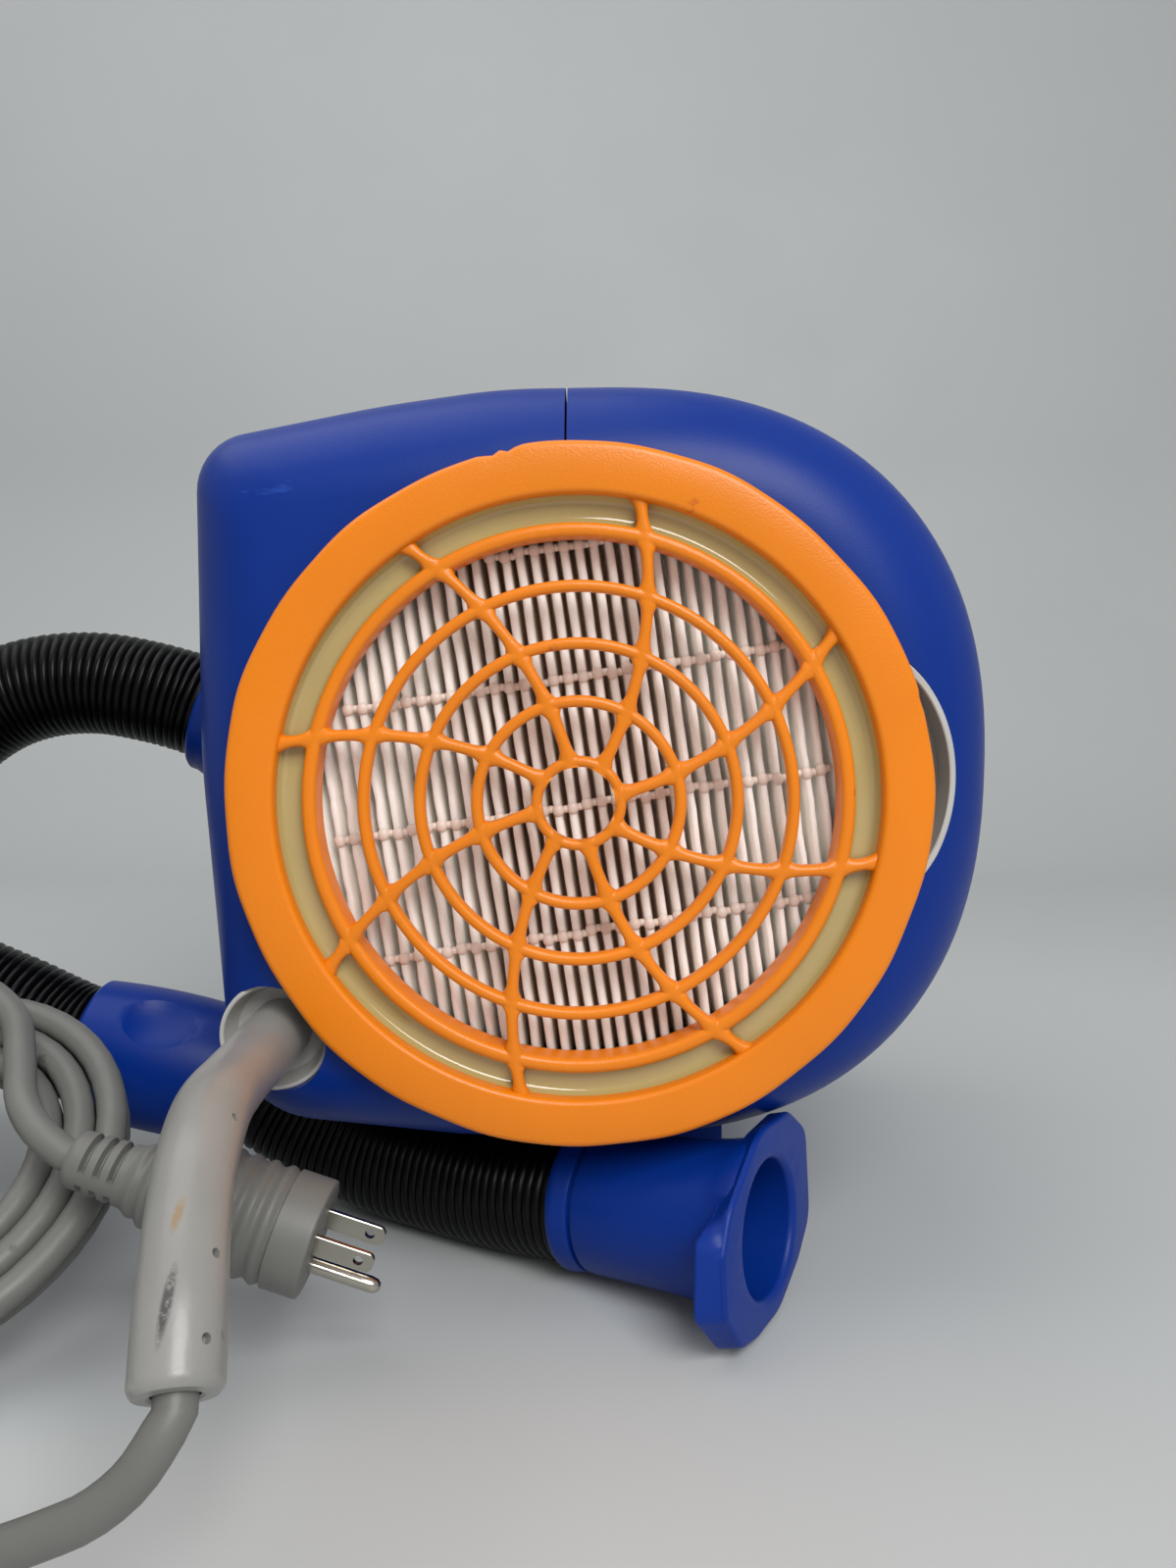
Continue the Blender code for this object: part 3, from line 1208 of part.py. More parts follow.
def impeller_outline():
    """A hub with swept blades, as one closed outline of (x, z)."""
    line = []
    for blade in range(BLADES):
        turn = 2 * math.pi * blade / BLADES
        half_hub = BLADE_WALL / 2 / IMPELLER_HUB_R
        half_tip = BLADE_WALL / 2 / IMPELLER_R
        middle_r = (IMPELLER_HUB_R + IMPELLER_R) / 2
        half_mid = BLADE_WALL / 2 / middle_r
        sweep = BLADE_SWEEP
        spots = [(IMPELLER_HUB_R, turn - half_hub), (middle_r, turn + sweep * 0.42 - half_mid),
                 (IMPELLER_R, turn + sweep - half_tip), (IMPELLER_R, turn + sweep + half_tip),
                 (middle_r, turn + sweep * 0.42 + half_mid), (IMPELLER_HUB_R, turn + half_hub)]
        for radius, bearing in spots:
            line.append((ROTOR_X + radius * math.cos(bearing), ROTOR_Z + radius * math.sin(bearing)))
    return line


impeller = facing_prism("impeller", impeller_outline(), impeller_back - IMPELLER_DEPTH,
                        IMPELLER_DEPTH, steel, rotor)
plate = disc("plate", IMPELLER_R + 0.0004, (ROTOR_X, impeller_back - IMPELLER_PLATE, ROTOR_Z),
             BACKWARD, IMPELLER_PLATE + 0.0004, None, 28, rotor)
combine(impeller, plate, "UNION")
combine(impeller, disc("hub_bore", SHAFT_R + SHAFT_CLEAR, (ROTOR_X, 0.0, ROTOR_Z), BACKWARD, FAR, None,
                       16, rotor))
finish(impeller)
motor_front = volute_back + GAP + MOTOR_PLATE + GAP
motor_back = motor_front + MOTOR_LENGTH
shaft_front = impeller_back - IMPELLER_DEPTH - 0.0040
shaft_length = motor_back + 0.0050 - shaft_front
profile = [(0.0, 0.0), (SHAFT_R - 0.0006, 0.0), (SHAFT_R, 0.0006), (SHAFT_R, shaft_length - 0.0006),
           (SHAFT_R - 0.0006, shaft_length), (0.0, shaft_length)]
finish(lathe("motor_shaft", profile, (ROTOR_X, shaft_front, ROTOR_Z), BACKWARD, steel, 16, rotor,
             closed=False))
profile = [(SHAFT_R + SHAFT_ROOM, 0.0), (MOTOR_PLATE_R, 0.0), (MOTOR_PLATE_R, MOTOR_PLATE),
           (SHAFT_R + SHAFT_ROOM, MOTOR_PLATE)]
lathe("motor_plate", profile, (ROTOR_X, volute_back + GAP, ROTOR_Z), BACKWARD, steel, 20)
bearing_r = SHAFT_R + 0.00005
profile = [(bearing_r, 0.0), (MOTOR_R - 0.002, 0.0), (MOTOR_R, 0.002), (MOTOR_R, MOTOR_LENGTH - 0.006),
           (MOTOR_R - 0.006, MOTOR_LENGTH), (bearing_r, MOTOR_LENGTH)]
finish(lathe("motor_can", profile, (ROTOR_X, motor_front, ROTOR_Z), BACKWARD, steel, 20))

# ---------------------------------------------------------------- heater
duct_front = VOLUTE_FRONT + (VOLUTE_DEPTH - 2 * DUCT_HALF) / 2
HEATER_IN = HEATER_RIGHT - GAP


def square_tube(name, left, right, half, wall, mat):
    """A square duct along x, open at both ends."""
    duct = box(name, (left, SPIGOT_Y - half - wall, SPIGOT_Z - half - wall),
               (right, SPIGOT_Y + half + wall, SPIGOT_Z + half + wall), mat)
    inside = box("duct_inside", (left - 0.01, SPIGOT_Y - half, SPIGOT_Z - half),
                 (right + 0.01, SPIGOT_Y + half, SPIGOT_Z + half), None)
    return combine(duct, inside)


square_tube("heater_duct", HEATER_LEFT, HEATER_IN, DUCT_HALF, DUCT_WALL, steel)
frame_half = DUCT_HALF - GAP
card_half = HEATER_COIL_R * math.cos(math.pi / 10) - HEATER_WIRE_R - 2 * GAP
CARD_HALF_THICK = 0.0006
card_left = HEATER_LEFT + 0.0040
card_right = HEATER_IN - 0.0030


def card_outline(half):
    """The side of a mica card: narrow under the winding and full at both ends, as (x, half)."""
    tab = 0.0070
    line = [(card_left, -frame_half), (card_left + tab, -frame_half), (card_left + tab, -half),
            (card_right - tab, -half), (card_right - tab, -frame_half), (card_right, -frame_half)]
    return line + [(x, -h) for x, h in line[::-1]]


card = facing_prism("heater_frame", [(x, SPIGOT_Z + h) for x, h in card_outline(card_half)],
                    SPIGOT_Y - CARD_HALF_THICK, 2 * CARD_HALF_THICK, mica)
cross = prism("cross", [(x, -h) for x, h in card_outline(card_half)],
              (0.0, SPIGOT_Y, SPIGOT_Z - CARD_HALF_THICK), (0, 0, 1), (1, 0, 0), 2 * CARD_HALF_THICK,
              None)
combine(card, cross, "UNION")
heater_points = []
heater_steps = HEATER_TURNS * 10
for k in range(heater_steps + 1):
    turn = 2 * math.pi * k / 10
    along = HEATER_LEFT + 0.0145 + (HEATER_IN - 0.0135 - HEATER_LEFT - 0.0145) * k / heater_steps
    heater_points.append((along, SPIGOT_Y + HEATER_COIL_R * math.cos(turn),
                          SPIGOT_Z + HEATER_COIL_R * math.sin(turn)))
print("heater wire: least gap to itself %.2f mm"
      % (least_gap(np.array(heater_points), 2 * HEATER_WIRE_R, 0.03) * 1000))
tube("heater_coil", heater_points, HEATER_WIRE_R, 0, heater_wire)
disc("thermal_cutout", 0.0070, ((HEATER_LEFT + HEATER_IN) / 2, SPIGOT_Y,
                                SPIGOT_Z + DUCT_HALF + DUCT_WALL + GAP), (0, 0, 1), 0.0060, steel, 20)

# ---------------------------------------------------------------- outlet
TO_LEFT = (-1.0, 0.0, 0.0)
spigot_in = -HEATER_LEFT + GAP
bore = SPIGOT_R - SPIGOT_WALL
profile = [(bore, spigot_in), (SPIGOT_FLANGE_R, spigot_in), (SPIGOT_FLANGE_R, spigot_in + 0.0030),
           (SPIGOT_R, spigot_in + 0.0030), (SPIGOT_R, SPIGOT_REACH), (bore, SPIGOT_REACH)]
finish(lathe("outlet_spigot", profile, (0.0, SPIGOT_Y, SPIGOT_Z), TO_LEFT, grey_plastic, 20))
cuff_start = (-SPIGOT_REACH - GAP, SPIGOT_Y, SPIGOT_Z)
cuff_way = Vector((-math.cos(CUFF_RISE), 0.0, math.sin(CUFF_RISE)))
cuff_route = [(-SPIGOT_REACH - 0.005, SPIGOT_Y, SPIGOT_Z), (-SPIGOT_REACH - 0.009, SPIGOT_Y, SPIGOT_Z),
              tuple(Vector(CUFF_END) - cuff_way * 0.008), tuple(Vector(CUFF_END) - cuff_way * 0.004)]
cuff_points = np.vstack([cuff_start, smooth_line(cuff_route, 0.0055), CUFF_END])
cuff = tube_mesh("hose_cuff", cuff_points, HOSE_R + CUFF_WALL, 4, blue_plastic)
long_points = np.vstack([(-SPIGOT_REACH + 0.006, SPIGOT_Y, SPIGOT_Z), cuff_points[1:-1],
                         Vector(CUFF_END) + cuff_way * 0.006])
combine(cuff, tube_mesh("cuff_bore", long_points, HOSE_BORE_R, 4, blue_plastic))
finish(cuff)

# ---------------------------------------------------------------- hose
grip_way = Vector((math.cos(GRIP_FALL), 0.0, -math.sin(GRIP_FALL)))
grip_mid = Vector(GRIP_CENTRE)
through_grip = [tuple(grip_mid + grip_way * reach) for reach in (-0.036, -0.012, 0.012, 0.036)]
nozzle_way = (Vector(NOZZLE_FACE) - Vector(NOZZLE_START)).normalized()
hose_exit = Vector(CUFF_END) + cuff_way * GAP
hose_end = Vector(NOZZLE_START) - nozzle_way * GAP
cuff_shift = Vector(CUFF_END) - Vector(ROUTE_START)
hose_down = [tuple(Vector(point) + cuff_shift * max(0.0, 1 - (k + 1) / FOLLOW_POINTS))
             for k, point in enumerate(HOSE_ROUTE)]
hose_route = [tuple(hose_exit + cuff_way * HOSE_STRAIGHT), *hose_down, *through_grip, *AFTER_GRIP,
              tuple(hose_end - nozzle_way * HOSE_STRAIGHT)]


def hose_line(spacing):
    """The hose's centre line at even spacing, with a straight step at both ends."""
    return np.vstack([hose_exit, smooth_line(hose_route, spacing), hose_end])


hose_points = hose_line(0.0010)
hose_length = line_length(hose_points)
print("hose: %.3f m, least gap to itself %.2f mm"
      % (hose_length, least_gap(hose_points[::4], 2 * HOSE_R, 0.20) * 1000))
rib_points = hose_line(hose_length / (2 * HOSE_RIBS))
rib_sizes = [HOSE_R if k % 2 else HOSE_VALLEY_R for k in range(len(rib_points))]
hose = tube_mesh("hose", rib_points, rib_sizes, 2, black_hose)
bore_points = hose_line(0.0290)
first = np.array(hose_exit - cuff_way * 0.006)
last = np.array(hose_end + nozzle_way * 0.006)
bore_line = np.vstack([first, bore_points[1:-1], last])
combine(hose, tube_mesh("hose_bore", bore_line, HOSE_BORE_R, 2, black_hose))
finish(hose, 60.0)

# ---------------------------------------------------------------- grip
ends = GRIP_HALF
profile = [(GRIP_BORE_R, -ends), (GRIP_END_R, -ends), (GRIP_R - 0.0004, -ends * 0.72),
           (GRIP_R, -ends * 0.2), (GRIP_R - 0.0006, ends * 0.45), (GRIP_END_R, ends),
           (GRIP_BORE_R, ends)]
grip = lathe("hose_grip", profile, grip_mid, grip_way, blue_plastic, 24)
scoop_out = Vector(SCOOP_WAY).normalized()
scoop_centre = grip_mid - grip_way * 0.004 + scoop_out * (GRIP_R + SCOOP_R - SCOOP_DEPTH)
scoop = lathe("scoop", [(0.0, -SCOOP_R), (SCOOP_R * 0.5, -SCOOP_R * 0.866),
                        (SCOOP_R * 0.866, -SCOOP_R * 0.5), (SCOOP_R, 0.0),
                        (SCOOP_R * 0.866, SCOOP_R * 0.5), (SCOOP_R * 0.5, SCOOP_R * 0.866),
                        (0.0, SCOOP_R)], scoop_centre, scoop_out, None, 16, closed=False)
combine(grip, scoop)
grip.data.materials.append(blue_plastic)
finish(grip)

# ---------------------------------------------------------------- nozzle
nozzle_length = (Vector(NOZZLE_FACE) - Vector(NOZZLE_START)).length
flange_back = nozzle_length - FLANGE_THICK
profile = [(NOZZLE_BORE_R - 0.0040, 0.0), (NOZZLE_COLLAR_R - 0.0010, 0.0), (NOZZLE_COLLAR_R, 0.0010),
           (NOZZLE_COLLAR_R, NOZZLE_COLLAR), (NOZZLE_COLLAR_R - 0.0010, NOZZLE_COLLAR + 0.0010),
           (NOZZLE_END_R - 0.0006, nozzle_length * 0.6), (NOZZLE_END_R, flange_back + 0.001),
           (NOZZLE_BORE_R, flange_back + 0.001), (NOZZLE_BORE_R, NOZZLE_COLLAR),
           (NOZZLE_BORE_R - 0.0040, NOZZLE_COLLAR)]
nozzle = lathe("nozzle", profile, NOZZLE_START, nozzle_way, blue_plastic, 20)
a, b, c = FLANGE_HALF_WIDE, FLANGE_HALF_HIGH, FLANGE_CORNER
corner_line = [(a, b - c), (a - c, b), (-a + c, b), (-a, b - c), (-a, -b + c), (-a + c, -b),
               (a - c, -b), (a, -b + c)]
flange_outline = rounded(corner_line, [0.006] * 8, 2)
flange_base = Vector(NOZZLE_START) + nozzle_way * flange_back
_, flange_side, _ = unit_frame(nozzle_way)
flange = prism("flange", flange_outline, flange_base, nozzle_way, flange_side, FLANGE_THICK, None)
combine(nozzle, flange, "UNION")
combine(nozzle, disc("flange_hole", NOZZLE_BORE_R, flange_base - nozzle_way * 0.010, nozzle_way, 0.03,
                     None, 20))
finish(nozzle)

# ---------------------------------------------------------------- control panel on the back
outline = rounded_box_outline(PANEL_X, PANEL_Z, PANEL_WIDE / 2, PANEL_HIGH / 2, PANEL_CORNER)
panel = facing_prism("control_panel", outline, CASE_BACK + GAP, PANEL_THICK, grey_plastic)
combine(panel, facing_prism(
    "switch_room", rounded_box_outline(switch_x, switch_z, SWITCH_HALF_WIDE + GAP,
                                       SWITCH_HALF_HIGH + GAP, 0.001), CASE_BACK - 0.02, 0.04, None))
combine(panel, disc("spindle_room", SPINDLE_R + FIT, (knob_x, CASE_BACK - 0.02, knob_z), BACKWARD,
                    0.04, None, 16))
lamp_places = [(PANEL_X + (k - 1) * LAMP_PITCH + 0.018, switch_z + 0.006) for k in range(3)]
for x, z in lamp_places:
    combine(panel, disc("lamp_room", LAMP_R + GAP, (x, CASE_BACK - 0.01, z), BACKWARD, 0.03, None, 12))
panel.data.materials.append(grey_plastic)
finish(panel)
for index, (x, z) in enumerate(lamp_places):
    profile = [(0.0, 0.0), (LAMP_R, 0.0), (LAMP_R, PANEL_THICK + 0.0006),
               (LAMP_R * 0.6, PANEL_THICK + 0.0016), (0.0, PANEL_THICK + 0.0020)]
    colour = lamp_red if index == 2 else lamp_green
    finish(lathe("indicator_lamp_%d" % (index + 1), profile, (x, CASE_BACK + 2 * GAP, z), BACKWARD,
                 colour, 12, closed=False))

bezel_back = panel_back + SWITCH_PROUD
outer_line = rounded_box_outline(switch_x, switch_z, SWITCH_HALF_WIDE, SWITCH_HALF_HIGH, 0.001)
bezel = facing_prism("switch_bezel", outer_line, CASE_BACK - SWITCH_DEPTH,
                     bezel_back - CASE_BACK + SWITCH_DEPTH, black_plastic)
rim_line = rounded_box_outline(switch_x, switch_z, SWITCH_HALF_WIDE + SWITCH_RIM,
                               SWITCH_HALF_HIGH + SWITCH_RIM, 0.002)
combine(bezel, facing_prism("rim", rim_line, panel_back + GAP, SWITCH_PROUD - GAP, None), "UNION")
well_line = rounded_box_outline(switch_x, switch_z, SWITCH_HALF_WIDE - 0.0015,
                                SWITCH_HALF_HIGH - 0.0015, 0.0005)
combine(bezel, facing_prism("well", well_line, CASE_BACK - 0.0100, 0.05, None))
bezel.data.materials.append(black_plastic)
finish(bezel)

rocker_axis_y = panel_back - 0.0040
rocker_pivot = pivot("rocker_axis", (switch_x, rocker_axis_y, switch_z))
half_high = SWITCH_HALF_HIGH - 0.0015 - 0.0012
half_wide = SWITCH_HALF_WIDE - 0.0015 - 0.0004
side_line = [(-half_high, 0.0030), (-half_high + 0.001, 0.0005), (0.0, -0.0035),
             (half_high - 0.001, 0.0005), (half_high, 0.0030), (half_high, 0.0062),
             (0.0, 0.0078), (-half_high, 0.0098)]


def rocker_mesh():
    """The rocker's side view (height, depth), pushed across its width."""
    verts = []
    tilt = -ROCKER_TILT / 2
    for x in (-half_wide, half_wide):
        for high, deep in side_line:
            z = high * math.cos(tilt) - deep * math.sin(tilt)
            y = high * math.sin(tilt) + deep * math.cos(tilt)
            verts.append((switch_x + x, rocker_axis_y + y, switch_z + z))
    count = len(side_line)
    faces = [tuple(range(count)), tuple(range(2 * count - 1, count - 1, -1))]
    faces += [(i, (i + 1) % count, (i + 1) % count + count, i + count) for i in range(count)]
    return verts, faces


rocker_verts, rocker_faces = rocker_mesh()
add_object("power_rocker", rocker_verts, rocker_faces, black_plastic, rocker_pivot)

knob_pivot = pivot("knob_axis", (knob_x, panel_back, knob_z))
profile = [(0.0, GAP), (KNOB_R - 0.001, GAP), (KNOB_R, 0.0015), (KNOB_R - 0.0012, KNOB_HIGH - 0.002),
           (KNOB_R - 0.0030, KNOB_HIGH), (0.0, KNOB_HIGH)]
knob = lathe("temperature_knob", profile, (knob_x, panel_back, knob_z), BACKWARD, black_plastic, 24,
             knob_pivot, closed=False)
for k in range(8):
    turn = 2 * math.pi * (k + 0.5) / 8
    place = (knob_x + (KNOB_R + 0.0022) * math.cos(turn), panel_back - 0.01,
             knob_z + (KNOB_R + 0.0022) * math.sin(turn))
    combine(knob, disc("flute", 0.0035, place, BACKWARD, 0.05, None, 8, knob_pivot))
combine(knob, disc("knob_bore", SPINDLE_R + GAP, (knob_x, panel_back - 0.01, knob_z), BACKWARD,
                   0.01 + KNOB_HIGH * 0.7, None, 16, knob_pivot))
knob.data.materials.append(black_plastic)
finish(knob)
disc("knob_spindle", SPINDLE_R, (knob_x, CASE_BACK - 0.012, knob_z), BACKWARD,
     panel_back + KNOB_HIGH * 0.6 - CASE_BACK + 0.012, steel, 16, knob_pivot)
board_back = CASE_BACK - BOARD_SET
board_half_wide = PANEL_WIDE / 2 - BOARD_INSET_X
board_half_high = PANEL_HIGH / 2 - BOARD_INSET_Z
board = box("control_board",
            (PANEL_X - board_half_wide, board_back - BOARD_THICK, PANEL_Z - board_half_high),
            (PANEL_X + board_half_wide, board_back, PANEL_Z + board_half_high), board_green)

# ---------------------------------------------------------------- mains terminals and inner lead
block_x = GLAND_X + 0.004
block_y = 0.1000
terminals = box("terminal_block", (block_x - 0.011, block_y, GLAND_Z - 0.008),
                (block_x + 0.011, block_y + 0.024, GLAND_Z + 0.008), mica)
for k in (-1, 0, 1):
    combine(terminals, disc("terminal_hole", 0.0022, (block_x + k * 0.007, block_y + 0.012,
                                                      GLAND_Z + 0.002), (0, 0, 1), 0.02, None, 10))
terminals.data.materials.append(mica)
lead_in = [(GLAND_X, GLAND_BACK + GAP, GLAND_Z), (GLAND_X, GLAND_BACK + 0.02, GLAND_Z),
           (GLAND_X + 0.003, 0.080, GLAND_Z), (block_x, block_y - GAP, GLAND_Z)]
tube("mains_lead", smooth_line(lead_in, 0.010), 0.0035, 2, grey_vinyl)

bpy.context.view_layer.update()
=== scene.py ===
"""Looks of the warm-air dryer: blue case, orange filter cover, ribbed hose and mains cord.

Places are metres in the dryer's own drawing: x to the right, y to the back, z up. Its zero is on
the table, below the middle of the filter cover's front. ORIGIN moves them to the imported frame.
"""
import math

import bmesh
import bpy
import numpy as np
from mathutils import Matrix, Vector


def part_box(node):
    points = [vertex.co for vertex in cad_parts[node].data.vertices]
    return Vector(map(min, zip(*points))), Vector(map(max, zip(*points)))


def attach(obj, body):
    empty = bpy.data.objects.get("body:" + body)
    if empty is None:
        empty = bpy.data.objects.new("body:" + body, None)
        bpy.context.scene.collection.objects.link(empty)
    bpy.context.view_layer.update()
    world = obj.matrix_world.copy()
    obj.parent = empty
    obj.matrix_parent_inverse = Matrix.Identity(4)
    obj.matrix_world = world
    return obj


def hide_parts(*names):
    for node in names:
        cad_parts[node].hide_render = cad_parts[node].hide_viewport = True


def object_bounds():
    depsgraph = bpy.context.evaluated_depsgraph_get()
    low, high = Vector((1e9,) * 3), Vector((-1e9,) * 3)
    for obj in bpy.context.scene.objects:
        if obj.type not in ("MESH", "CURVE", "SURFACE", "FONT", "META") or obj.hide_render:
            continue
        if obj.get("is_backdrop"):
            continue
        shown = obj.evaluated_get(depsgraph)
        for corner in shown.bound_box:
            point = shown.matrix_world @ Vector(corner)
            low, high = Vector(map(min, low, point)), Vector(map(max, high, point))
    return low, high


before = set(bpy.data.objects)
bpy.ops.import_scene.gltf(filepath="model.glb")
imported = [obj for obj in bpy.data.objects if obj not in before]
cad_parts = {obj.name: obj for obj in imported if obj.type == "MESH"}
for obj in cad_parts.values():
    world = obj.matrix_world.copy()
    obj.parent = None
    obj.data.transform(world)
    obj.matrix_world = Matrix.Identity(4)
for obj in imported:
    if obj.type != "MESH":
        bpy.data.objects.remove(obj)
packed_low, packed_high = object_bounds()

cover_low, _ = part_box("grille_frame")
seat_low, seat_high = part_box("filter_seat")
AXIS_Z = (seat_low.z + seat_high.z) / 2
ORIGIN = np.array([(seat_low.x + seat_high.x) / 2, cover_low.y, 0.0])

# ---------------------------------------------------------------- camera
# The camera stands in front of the filter cover, a little above its axis, and looks down by
# 5.5 degrees. Its lens gives 1200 pixels of focal length on the 1599-pixel side.
EYE = np.array([0.0028, -0.3500, 0.2060])
PITCH = math.radians(5.5)
FOCAL_PIXELS = 1200
PHOTO_WIDTH = 1199
PHOTO_HEIGHT = 1599
SENSOR_WIDTH = 36.0
camera_data = bpy.data.cameras.new("camera")
camera_data.lens = SENSOR_WIDTH * FOCAL_PIXELS / PHOTO_HEIGHT
camera_data.sensor_width = SENSOR_WIDTH
camera_data.clip_start = 0.01
camera = bpy.data.objects.new("camera", camera_data)
camera.location = Vector(EYE + ORIGIN)
camera.rotation_euler = (math.pi / 2 - PITCH, 0.0, 0.0)
bpy.context.scene.collection.objects.link(camera)
bpy.context.scene.camera = camera
bpy.context.scene.view_settings.view_transform = "Standard"

# ---------------------------------------------------------------- case
# Two blue moulded shells that meet in a seam left of the filter, 3 mm thick, with a large
# rounding in front and a smaller one behind. Four screws join them through laps at the back.
CASE_FRONT = 0.0090
CASE_BACK = 0.2600
CASE_WALL = 0.0030
CASE_RIGHT = 0.1340
CASE_LEFT = 0.1250
CASE_TOP = 0.1310             # above the filter's axis
CASE_HALF = 0.1240            # half the height, and the radius of the round right side
CASE_SQUARENESS = 2.35
FRONT_FILLET = 0.035
BACK_FILLET = 0.020
MOUTH_R = 0.0978
MOUTH_LAND = 0.0005           # flat left between the mouth and the front rounding
SEAM_X = -0.0040
SEAM_GAP = 0.0007
OUTLINE_POINTS = 300
FAR = 0.5                     # past everything, for a cutter
CUTTER_FRONT = -0.02          # a cutter starts this far in front of the cover
NOTCH_X = 0.0686
NOTCH_UP = 0.0060
NOTCH_R = 0.0481
NOTCH_DEPTH = 0.0180
NOTCH_GAP = 0.0003
GLAND_X = -0.0970
GLAND_Z = 0.0900
GLAND_R = 0.0180
GLAND_PRESS = 0.0004
SPIGOT_Y = 0.1650
SPIGOT_Z = 0.1800
SPIGOT_R = 0.0190
SPIGOT_GAP = 0.0005
BACKWARD = (0.0, 1.0, 0.0)


def unit(way):
    """A direction with length one."""
    return np.asarray(way, float) / np.linalg.norm(way)


def rounded(corners, radii, steps=10):
    """Corner points (a, b) joined by arcs, one radius for each corner; 0 leaves it sharp.

    An arc's centre lies on the corner's bisector, and its points turn evenly from the foot on
    one straight to the foot on the next.
    """
    corners = np.asarray(corners, float)
    share = np.linspace(0, 1, steps + 1)[:, None]
    line = []
    for i, radius in enumerate(radii):
        here = corners[i]
        if radius <= 0.0:
            line.append(here[None, :])
            continue
        back = unit(corners[i - 1] - here)
        ahead = unit(corners[(i + 1) % len(corners)] - here)
        half = math.acos(back @ ahead) / 2
        centre = here + unit(back + ahead) * (radius / math.sin(half))
        start = here + back * (radius / math.tan(half)) - centre
        end = here + ahead * (radius / math.tan(half)) - centre
        turn = math.pi - 2 * half
        arms = start * np.sin((1 - share) * turn) + end * np.sin(share * turn)
        line.append(centre + arms / math.sin(turn))
    return np.vstack(line)


def reach_along(line):
    """Distance of each point from a line's start, measured along it."""
    return np.concatenate([[0.0], np.cumsum(np.linalg.norm(np.diff(line, axis=0), axis=1))])


def at_reaches(line, marks):
    """Points of a line at distances from its start."""
    reach = reach_along(line)
    return np.stack([np.interp(marks, reach, part) for part in line.T], axis=1)


def even(line, count):
    """Points at even steps round a closed line."""
    closed = np.vstack([line, line[:1]])
    return at_reaches(closed, np.linspace(0, reach_along(closed)[-1], count, endpoint=False))


def case_outline():
    """The case from the front, about the filter's axis.

    Arcs and straights make the left side. The right side is a superellipse: cosine and sine of
    the bearing, each to the power 2 / CASE_SQUARENESS.
    """
    centre_x = CASE_RIGHT - CASE_HALF
    centre_z = CASE_TOP - CASE_HALF
    bottom = CASE_TOP - 2 * CASE_HALF
    corners = [(centre_x, CASE_TOP), (-0.20 * CASE_LEFT, CASE_TOP - 0.0006),
               (-0.50 * CASE_LEFT, CASE_TOP - 0.0058), (-CASE_LEFT + 0.0018, CASE_TOP - 0.0178),
               (-CASE_LEFT, 0.0100), (-CASE_LEFT + 0.0080, bottom + 0.0090),
               (-0.30 * CASE_LEFT, bottom), (centre_x, bottom)]
    left = rounded(corners, [0.0, 0.200, 0.400, 0.019, 0.300, 0.032, 0.120, 0.0])
    turn = np.linspace(-math.pi / 2, math.pi / 2, 62)[1:-1]
    x = np.abs(np.cos(turn)) ** (2 / CASE_SQUARENESS)
    z = np.abs(np.sin(turn)) ** (2 / CASE_SQUARENESS) * np.sign(np.sin(turn))
    right = np.stack([centre_x + CASE_HALF * x, centre_z + CASE_HALF * z], axis=1)
    return even(np.vstack([left, right]), OUTLINE_POINTS)


outline = case_outline()
outline_reach = np.linalg.norm(outline, axis=1)
outline_way = outline / outline_reach[:, None]


def at_depth(points, depth):
    """Places of points (x, z) about the filter's axis, at a depth from the cover's front."""
    x, z = points.T
    return np.stack([x, np.broadcast_to(depth, x.shape), AXIS_Z + z], axis=1)


def case_ring(radius, depth):
    """A ring with a radius for each direction of the outline."""
    return at_depth(outline_way * np.reshape(radius, (-1, 1)), depth)


def case_rings(wall, front_steps, side_steps, back_steps):
    """Rings of the case's skin, a wall's thickness in, from the round mouth to the back.

    The front and back roundings are quarter circles: the radius grows with the sine of the turn,
    and the depth with one minus its cosine.
    """
    fillet = FRONT_FILLET - wall
    side = outline_reach - wall
    start = np.arcsin(1 - np.minimum(fillet, side - MOUTH_R - MOUTH_LAND) / fillet)
    rings = [case_ring(MOUTH_R + 0 * side, CASE_FRONT + wall + fillet * (1 - np.cos(start)))]
    for share in np.linspace(0, 1, front_steps + 1):
        turn = start + (math.pi / 2 - start) * share
        rings.append(case_ring(side - fillet * (1 - np.sin(turn)),
                               CASE_FRONT + wall + fillet * (1 - np.cos(turn))))
    fillet = BACK_FILLET - wall
    back = CASE_BACK - wall
    for depth in np.linspace(CASE_FRONT + FRONT_FILLET, back - fillet, side_steps + 2)[1:-1]:
        rings.append(case_ring(side, depth))
    for turn in np.linspace(0, math.pi / 2, back_steps + 1):
        rings.append(case_ring(side - fillet * (1 - math.cos(turn)),
                               back - fillet * (1 - math.sin(turn))))
    return rings


def to_mesh(name, verts, faces, sharp=35.0):
    """A mesh from drawing places, turned outwards, smooth but for edges past an angle."""
    mesh = bpy.data.meshes.new(name)
    mesh.from_pydata((np.asarray(verts, float) + ORIGIN).tolist(), [], faces)
    work = bmesh.new()
    work.from_mesh(mesh)
    bmesh.ops.recalc_face_normals(work, faces=work.faces)
    work.to_mesh(mesh)
    work.free()
    mesh.shade_smooth()
    mesh.set_sharp_from_angle(angle=math.radians(sharp))
    return mesh


